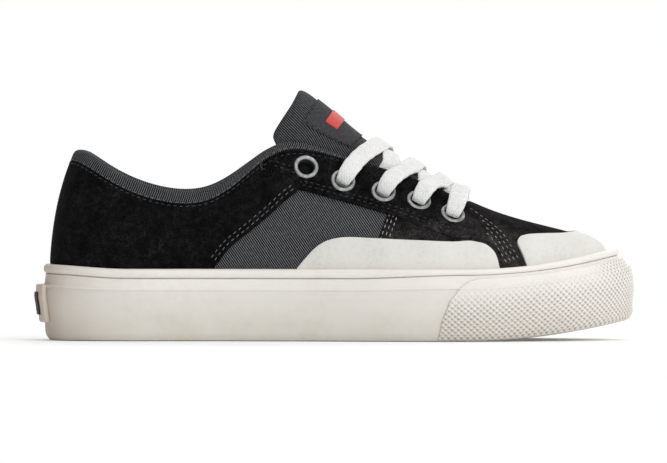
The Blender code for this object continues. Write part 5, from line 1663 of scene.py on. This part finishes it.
def tongue_sheet(name, places, acrosses, low, high, material, round_edge=0.0):
    """A closed sheet over the tongue's upper face, between two lifts.

    Without a rounded edge it is the tongue itself, whose top end curls up and back a little.
    """
    points, ups = tongue_grid(places, acrosses), tongue_ups(places, acrosses)
    if not round_edge:
        curl = np.clip((places - 0.90) / 0.10, 0.0, 1.0) ** 2
        points += curl[:, None, None] * np.array((-0.0010, 0.0, 0.0019))
    rows, columns = points.shape[:2]
    firsts = np.array([i * columns + k for i in range(rows - 1) for k in range(columns - 1)])
    cells = firsts[:, None] + np.array((0, 1, columns + 1, columns))
    outer, inner = ((points + ups * np.broadcast_to(lift, (rows, columns))[..., None]).reshape(-1, 3)
                    for lift in (high, low))
    over = np.zeros((rows, columns))
    over[:, 1:] = np.cumsum(np.linalg.norm(np.diff(points, axis=1), axis=2), 1)
    over -= over[:, columns // 2, None]
    run = np.zeros((rows, columns))
    run[1:] = np.cumsum(np.linalg.norm(np.diff(points, axis=0), axis=2), 0)
    weave = turned(0.95 * np.stack((-run, over), -1).reshape(-1, 2), -TONGUE_GRAIN)
    loop = np.concatenate((np.arange(columns), np.arange(1, rows) * columns + columns - 1,
                           (rows - 1) * columns + np.arange(columns - 1)[::-1],
                           np.arange(1, rows - 1)[::-1] * columns))
    count = rows * columns
    walls = [(b, a, a + count, b + count) for a, b in zip(loop, np.roll(loop, -1))]
    faces = [*map(tuple, cells), *map(tuple, cells[:, ::-1] + count), *walls]
    piece = mesh_piece(name, np.vstack((outer, inner)), faces, [material], np.vstack((weave, weave)))
    return bevelled(piece, round_edge) if round_edge else piece


class SHOE_OT_tongue(bpy.types.Operator):
    """Builds the padded tongue with its sewn patch and plain red label"""
    bl_idname = "shoe.tongue"
    bl_label = "Tongue"

    def execute(self, context):
        places = np.concatenate((np.linspace(0.0, 0.93, 84), np.linspace(0.935, 1.0, 18)))
        acrosses = np.sin(np.linspace(-0.5, 0.5, 73) * np.pi) * 0.5 + np.linspace(-0.5, 0.5, 73)
        place, across = np.meshgrid(places, acrosses, indexing="ij")
        thick = TONGUE_THICKNESS * (0.50 + 0.62 * smooth_step(place, 0.1, 0.7))
        rim = np.sqrt(np.clip(1.0 - np.abs(across) ** 7, 0.0, 1.0))
        for from_end in ((place - 0.95) / 0.05, 1.0 - place / 0.03):
            rim = np.minimum(rim, np.sqrt(1.0 - np.clip(from_end, 0.0, 1.0) ** 2))
        middle = -0.5 * thick
        pad = tongue_sheet("tongue_pad", places, acrosses, middle - 0.5 * thick * rim,
                           middle + 0.5 * thick * rim, look("binding twill"))
        merged(pad, 0.00005)
        # Under the facings the tongue wears the dark lining's look, as painted shade for the tongue seen
        # through the eyelet holes.
        pad.data.materials.append(look("knit lining"))
        front, rear = (tongue_grid([part], [-0.70])[0, 0] for part in (0.10, 0.90))
        for face in pad.data.polygons:
            middle = np.array(face.center)
            share_up = np.interp(middle[0], (rear[0], front[0]), (0.0, 1.0))
            limit = np.interp(share_up, (0.0, 1.0), (abs(rear[1]), abs(front[1])))
            if abs(middle[1]) > limit and 0.0 < share_up < 1.0:
                face.material_index = 1
        fitted(pad, "canvas", "tongue", angle=70)
        for name, (start, end, left, right), rows, columns, low, high, cloth, round_edge in (
                ("tongue_patch", PATCH, 40, 44, 0.0, 0.0008, "charcoal plain weave", 0.00025),
                ("tongue_tag", TAG, 16, 20, 0.0006, 0.0014, "red woven label", 0.0002)):
            fitted(tongue_sheet(name, np.linspace(start, end, rows), np.linspace(left, right, columns),
                                low, high, look(cloth), round_edge), "canvas")
        rows = []
        corners = np.array([(PATCH[i], PATCH[k]) for i, k in ((0, 2), (1, 2), (1, 3), (0, 3))])
        corners -= np.sign(corners - corners.mean(0)) * PATCH_STITCH_INSET
        for a, b in zip(corners, np.roll(corners, -1, 0)):
            line = a + (b - a) * np.linspace(0.0, 1.0, 30)[:, None]
            rows.append((np.array([tongue_grid([p], [m])[0, 0] for p, m in line]),
                         np.array([tongue_ups([p], [m])[0, 0] for p, m in line]), 0.0008))
        stitched("tongue_stitches", rows, "black thread", "canvas")
        return {"FINISHED"}


class SHOE_OT_eyelets(bpy.types.Operator):
    """Spins one metal eyelet and sets a copy in each hole"""
    bl_idname = "shoe.eyelets"
    bl_label = "Eyelets"

    def execute(self, context):
        tube, flange, high = EYELET_BORE + EYELET_TUBE, EYELET_RADIUS, EYELET_FLANGE
        ring = ((EYELET_BORE, -EYELET_DEPTH), (tube, -EYELET_DEPTH), (tube, -0.00005),
                (flange - 0.0001, -0.00005), (flange, 0.15 * high), (flange - 0.0002, 0.42 * high),
                (flange - 0.0005, 0.60 * high), (flange - 0.0009, 0.66 * high),
                (tube + 0.0001, 0.58 * high), (EYELET_BORE + 0.0002, 0.36 * high), (EYELET_BORE, 0.0))
        mesh = bpy.data.meshes.new("eyelet")
        mesh.from_pydata([(radius, 0.0, height) for radius, height in ring],
                         [(i, (i + 1) % len(ring)) for i in range(len(ring))], [])
        first = bpy.data.objects.new("eyelet", mesh)
        context.scene.collection.objects.link(first)
        only(first)
        bpy.ops.object.mode_set(mode="EDIT")
        bpy.ops.mesh.select_all(action="SELECT")
        bpy.ops.mesh.spin(steps=40, angle=2 * np.pi, center=(0, 0, 0), axis=(0, 0, 1))
        bpy.ops.mesh.select_all(action="SELECT")
        bpy.ops.mesh.remove_doubles(threshold=0.00001)
        bpy.ops.mesh.normals_make_consistent(inside=False)
        bpy.ops.object.mode_set(mode="OBJECT")
        # The inside of the bore wears the dark label's look, as painted shade for the shadow in the
        # bore.
        for name in ("satin metal", "dark label rubber"):
            first.data.materials.append(look(name))
        for face in first.data.polygons:
            middle = face.center
            if middle.z < 0.0 and middle.xy.length < EYELET_BORE + 0.5 * EYELET_TUBE:
                face.material_index = 1
        for lateral, word in SIDE_WORDS:
            for index, (lap, rise) in enumerate(EYELETS[lateral]):
                piece = first.copy()
                piece.data = first.data.copy()
                piece.name = f"ring_{word}_{index + 1}"
                context.scene.collection.objects.link(piece)
                up = Vector(normal(lap, rise))
                lift = context.scene.shoe_sizes.panel_thickness + 0.0002
                seat = Matrix.Translation(Vector(surface(lap, rise)) + up * lift)
                piece.data.transform(seat @ up.to_track_quat("Z", "Y").to_matrix().to_4x4())
                fitted(piece, "eyelet", f"eyelet_{word}_{index + 1}", angle=50)
        bpy.data.objects.remove(first)
        return {"FINISHED"}


def lace_stops(lateral, index, over, under, ridges, sizes):
    """Places, upward directions and widths along one strand.

    It comes out of an eyelet, passes over this side's throat edge at over, and meets the tongue's
    ridge at this side's one of ridges. It dips under the far edge at under, or runs on into the
    far eyelet where under is None.
    """
    side = -1.0 if lateral else 1.0
    half = 0.5 * sizes.lace_thickness
    seat = sizes.panel_thickness + 0.0002

    def out_of_eyelet(which, edge):
        lap, rise = EYELETS[which][index]
        up, middle = normal(lap, rise), surface(lap, rise)
        to_edge = surface(edge, 1.0) - middle
        to_edge -= up * (to_edge @ up)
        reach = np.linalg.norm(to_edge)
        to_edge /= reach
        return [(middle - up * 0.0036 - to_edge * 0.0002, -to_edge, 0.80, 1.05),
                (middle + up * (seat + 0.0004) + to_edge * 0.0004, 0.35 * up - to_edge, 0.82, 1.05),
                (middle + up * (seat + 0.0028) + to_edge * 0.0029, 0.8 * up - 0.45 * to_edge, 0.93, 1.0),
                (lifted(edge, 0.995, seat + half + 0.0003), normal(edge, 0.98), 1.0, 1.0)]

    near = edge_lap(over, lateral)
    far = edge_lap(over if under is None else under, not lateral)
    start, end = (LACE_BAR_REST, LACE_BAR_REST) if under is None else (over, under)
    ridge = ridges[0 if lateral else 1]
    if lateral:
        end = 0.5 * (end + ridge)
    tries = np.linspace(0.0, 0.92, 93)
    stops = out_of_eyelet(lateral, near)
    for across in LACE_ACROSS:
        # A parabola through where the strand crosses both edges and the ridge.
        part = across / LACE_EDGE
        x = 0.5 * part * ((part + 1.0) * start + (part - 1.0) * end) + (1.0 - part * part) * ridge
        place = np.interp(-x, -along_sole(tongue_grid(tries, [side * across])[:, 0, 0]), tries)
        up = tongue_ups([place], [side * across])[0, 0]
        up = up + (0.0, side * np.clip(2.4 * across, -0.5, 0.5), 0.0)
        up /= np.linalg.norm(up)
        on_top = np.clip(1.0 - abs(across) / 0.34, 0.0, 1.0) if lateral else 0.0
        lift = 0.85 * half + 0.0002 + 0.87 * sizes.lace_thickness * on_top
        lift += LACE_SLACK[index - 1] * np.clip(1.3 - abs(across) / 0.40, 0.0, 1.0)
        if under is None:
            lift = half + LACE_BAR_LIFT
        stops.append((tongue_grid([place], [side * across])[0, 0] + up * lift, up, 1.0, 0.85))
    if under is None:
        stops += out_of_eyelet(not lateral, far)[::-1]
    else:
        inner = -float(wall(far, 0.99)) - 0.45 * sizes.lace_thickness
        stops.append((lifted(far, 0.997, inner), normal(far, 0.98), 1.0, 0.8))
        stops.append((lifted(far, float(rise_at(far, 0.007)), inner), normal(far, 0.95), 0.95, 0.7))
    return stops


def lace_piece(name, stops, sizes):
    """A fat oval braided ribbon along its stops."""
    points, ups = (np.array([np.asarray(stop[k], float) for stop in stops]) for k in (0, 1))
    shares = np.array([stop[2:] for stop in stops])
    ups = unit(ups)
    lengths = lengths_along(points)
    count = int(lengths[-1] / LACE_STEP)
    at = np.linspace(0.0, lengths[-1], count)
    points, ups, shares = (open_spline(lengths, values)(at) for values in (points, ups, shares))
    along = unit(np.gradient(points, axis=0))
    across = unit(np.cross(along, ups))
    up = np.cross(across, along)
    turns = np.arange(LACE_RING) * 2 * np.pi / LACE_RING
    wide = np.sign(np.cos(turns)) * np.abs(np.cos(turns)) ** 0.8 * 0.5 * sizes.lace_width
    high = np.sign(np.sin(turns)) * np.abs(np.sin(turns)) ** 0.7 * 0.5 * sizes.lace_thickness
    high = high * (1.0 - 0.16 * (1.0 - (2 * wide / sizes.lace_width) ** 2))
    wobble = 1.0 + 0.02 * np.sin(at * 900.0)
    rows = [points + across * (w * shares[:, :1] * wobble[:, None]) + up * (t * shares[:, 1:])
            for w, t in zip(wide, high)]
    girth = np.append(0.0, np.cumsum(np.hypot(np.diff(wide), np.diff(high))))
    weave = np.stack((np.repeat(at, LACE_RING), np.tile(girth, count)), -1)
    return ring_piece(name, rows, False, [look("white braid")], weave)


class SHOE_OT_laces(bpy.types.Operator):
    """Laces the shoe: three crossings and a straight bar at the front"""
    bl_idname = "shoe.laces"
    bl_label = "Laces"

    def execute(self, context):
        sizes = context.scene.shoe_sizes
        for order, (over, under, *ridges) in enumerate(LACE_CROSSINGS, 1):
            for lateral, word in SIDE_WORDS:
                stops = lace_stops(lateral, order, over, under, ridges, sizes)
                strand = lace_piece(f"lace_{word}_{order}", stops, sizes)
                fitted(strand, "lace", f"lace_crossing_{order}", angle=80)
        stops = lace_stops(True, len(EYELET_PLACES) - 1, LACE_BAR, None, (LACE_BAR_REST,) * 2, sizes)
        fitted(lace_piece("lace_front_bar", stops, sizes), "lace", "lace_bar", angle=80)
        return {"FINISHED"}


STEPS = (SHOE_OT_stage, SHOE_OT_side_wall, SHOE_OT_bumper, SHOE_OT_heel_tab, SHOE_OT_soles,
         SHOE_OT_shell, SHOE_OT_panels, SHOE_OT_binding, SHOE_OT_stitches, SHOE_OT_tongue,
         SHOE_OT_eyelets, SHOE_OT_laces)


class SHOE_PT_sidebar(bpy.types.Panel):
    """Lists the shoe's sizes, colours and making steps"""
    bl_idname = "SHOE_PT_sidebar"
    bl_label = "Skateboarding shoe"
    bl_space_type = "VIEW_3D"
    bl_region_type = "UI"
    bl_category = "Shoe"

    def draw(self, context):
        for group in (context.scene.shoe_sizes, context.scene.shoe_colours):
            for name in group.__annotations__:
                self.layout.prop(group, name)
        for step in STEPS:
            self.layout.operator(step.bl_idname)


CLASSES = (ShoeSizes, ShoeColours, *STEPS, SHOE_PT_sidebar)


def register():
    for each in CLASSES:
        bpy.utils.register_class(each)
    bpy.types.Scene.shoe_sizes = PointerProperty(type=ShoeSizes)
    bpy.types.Scene.shoe_colours = PointerProperty(type=ShoeColours)


def unregister():
    del bpy.types.Scene.shoe_sizes
    del bpy.types.Scene.shoe_colours
    for each in reversed(CLASSES):
        bpy.utils.unregister_class(each)


def main():
    register()
    for step in STEPS:
        group, name = step.bl_idname.split(".")
        getattr(getattr(bpy.ops, group), name)()


if __name__ == "__main__":
    main()
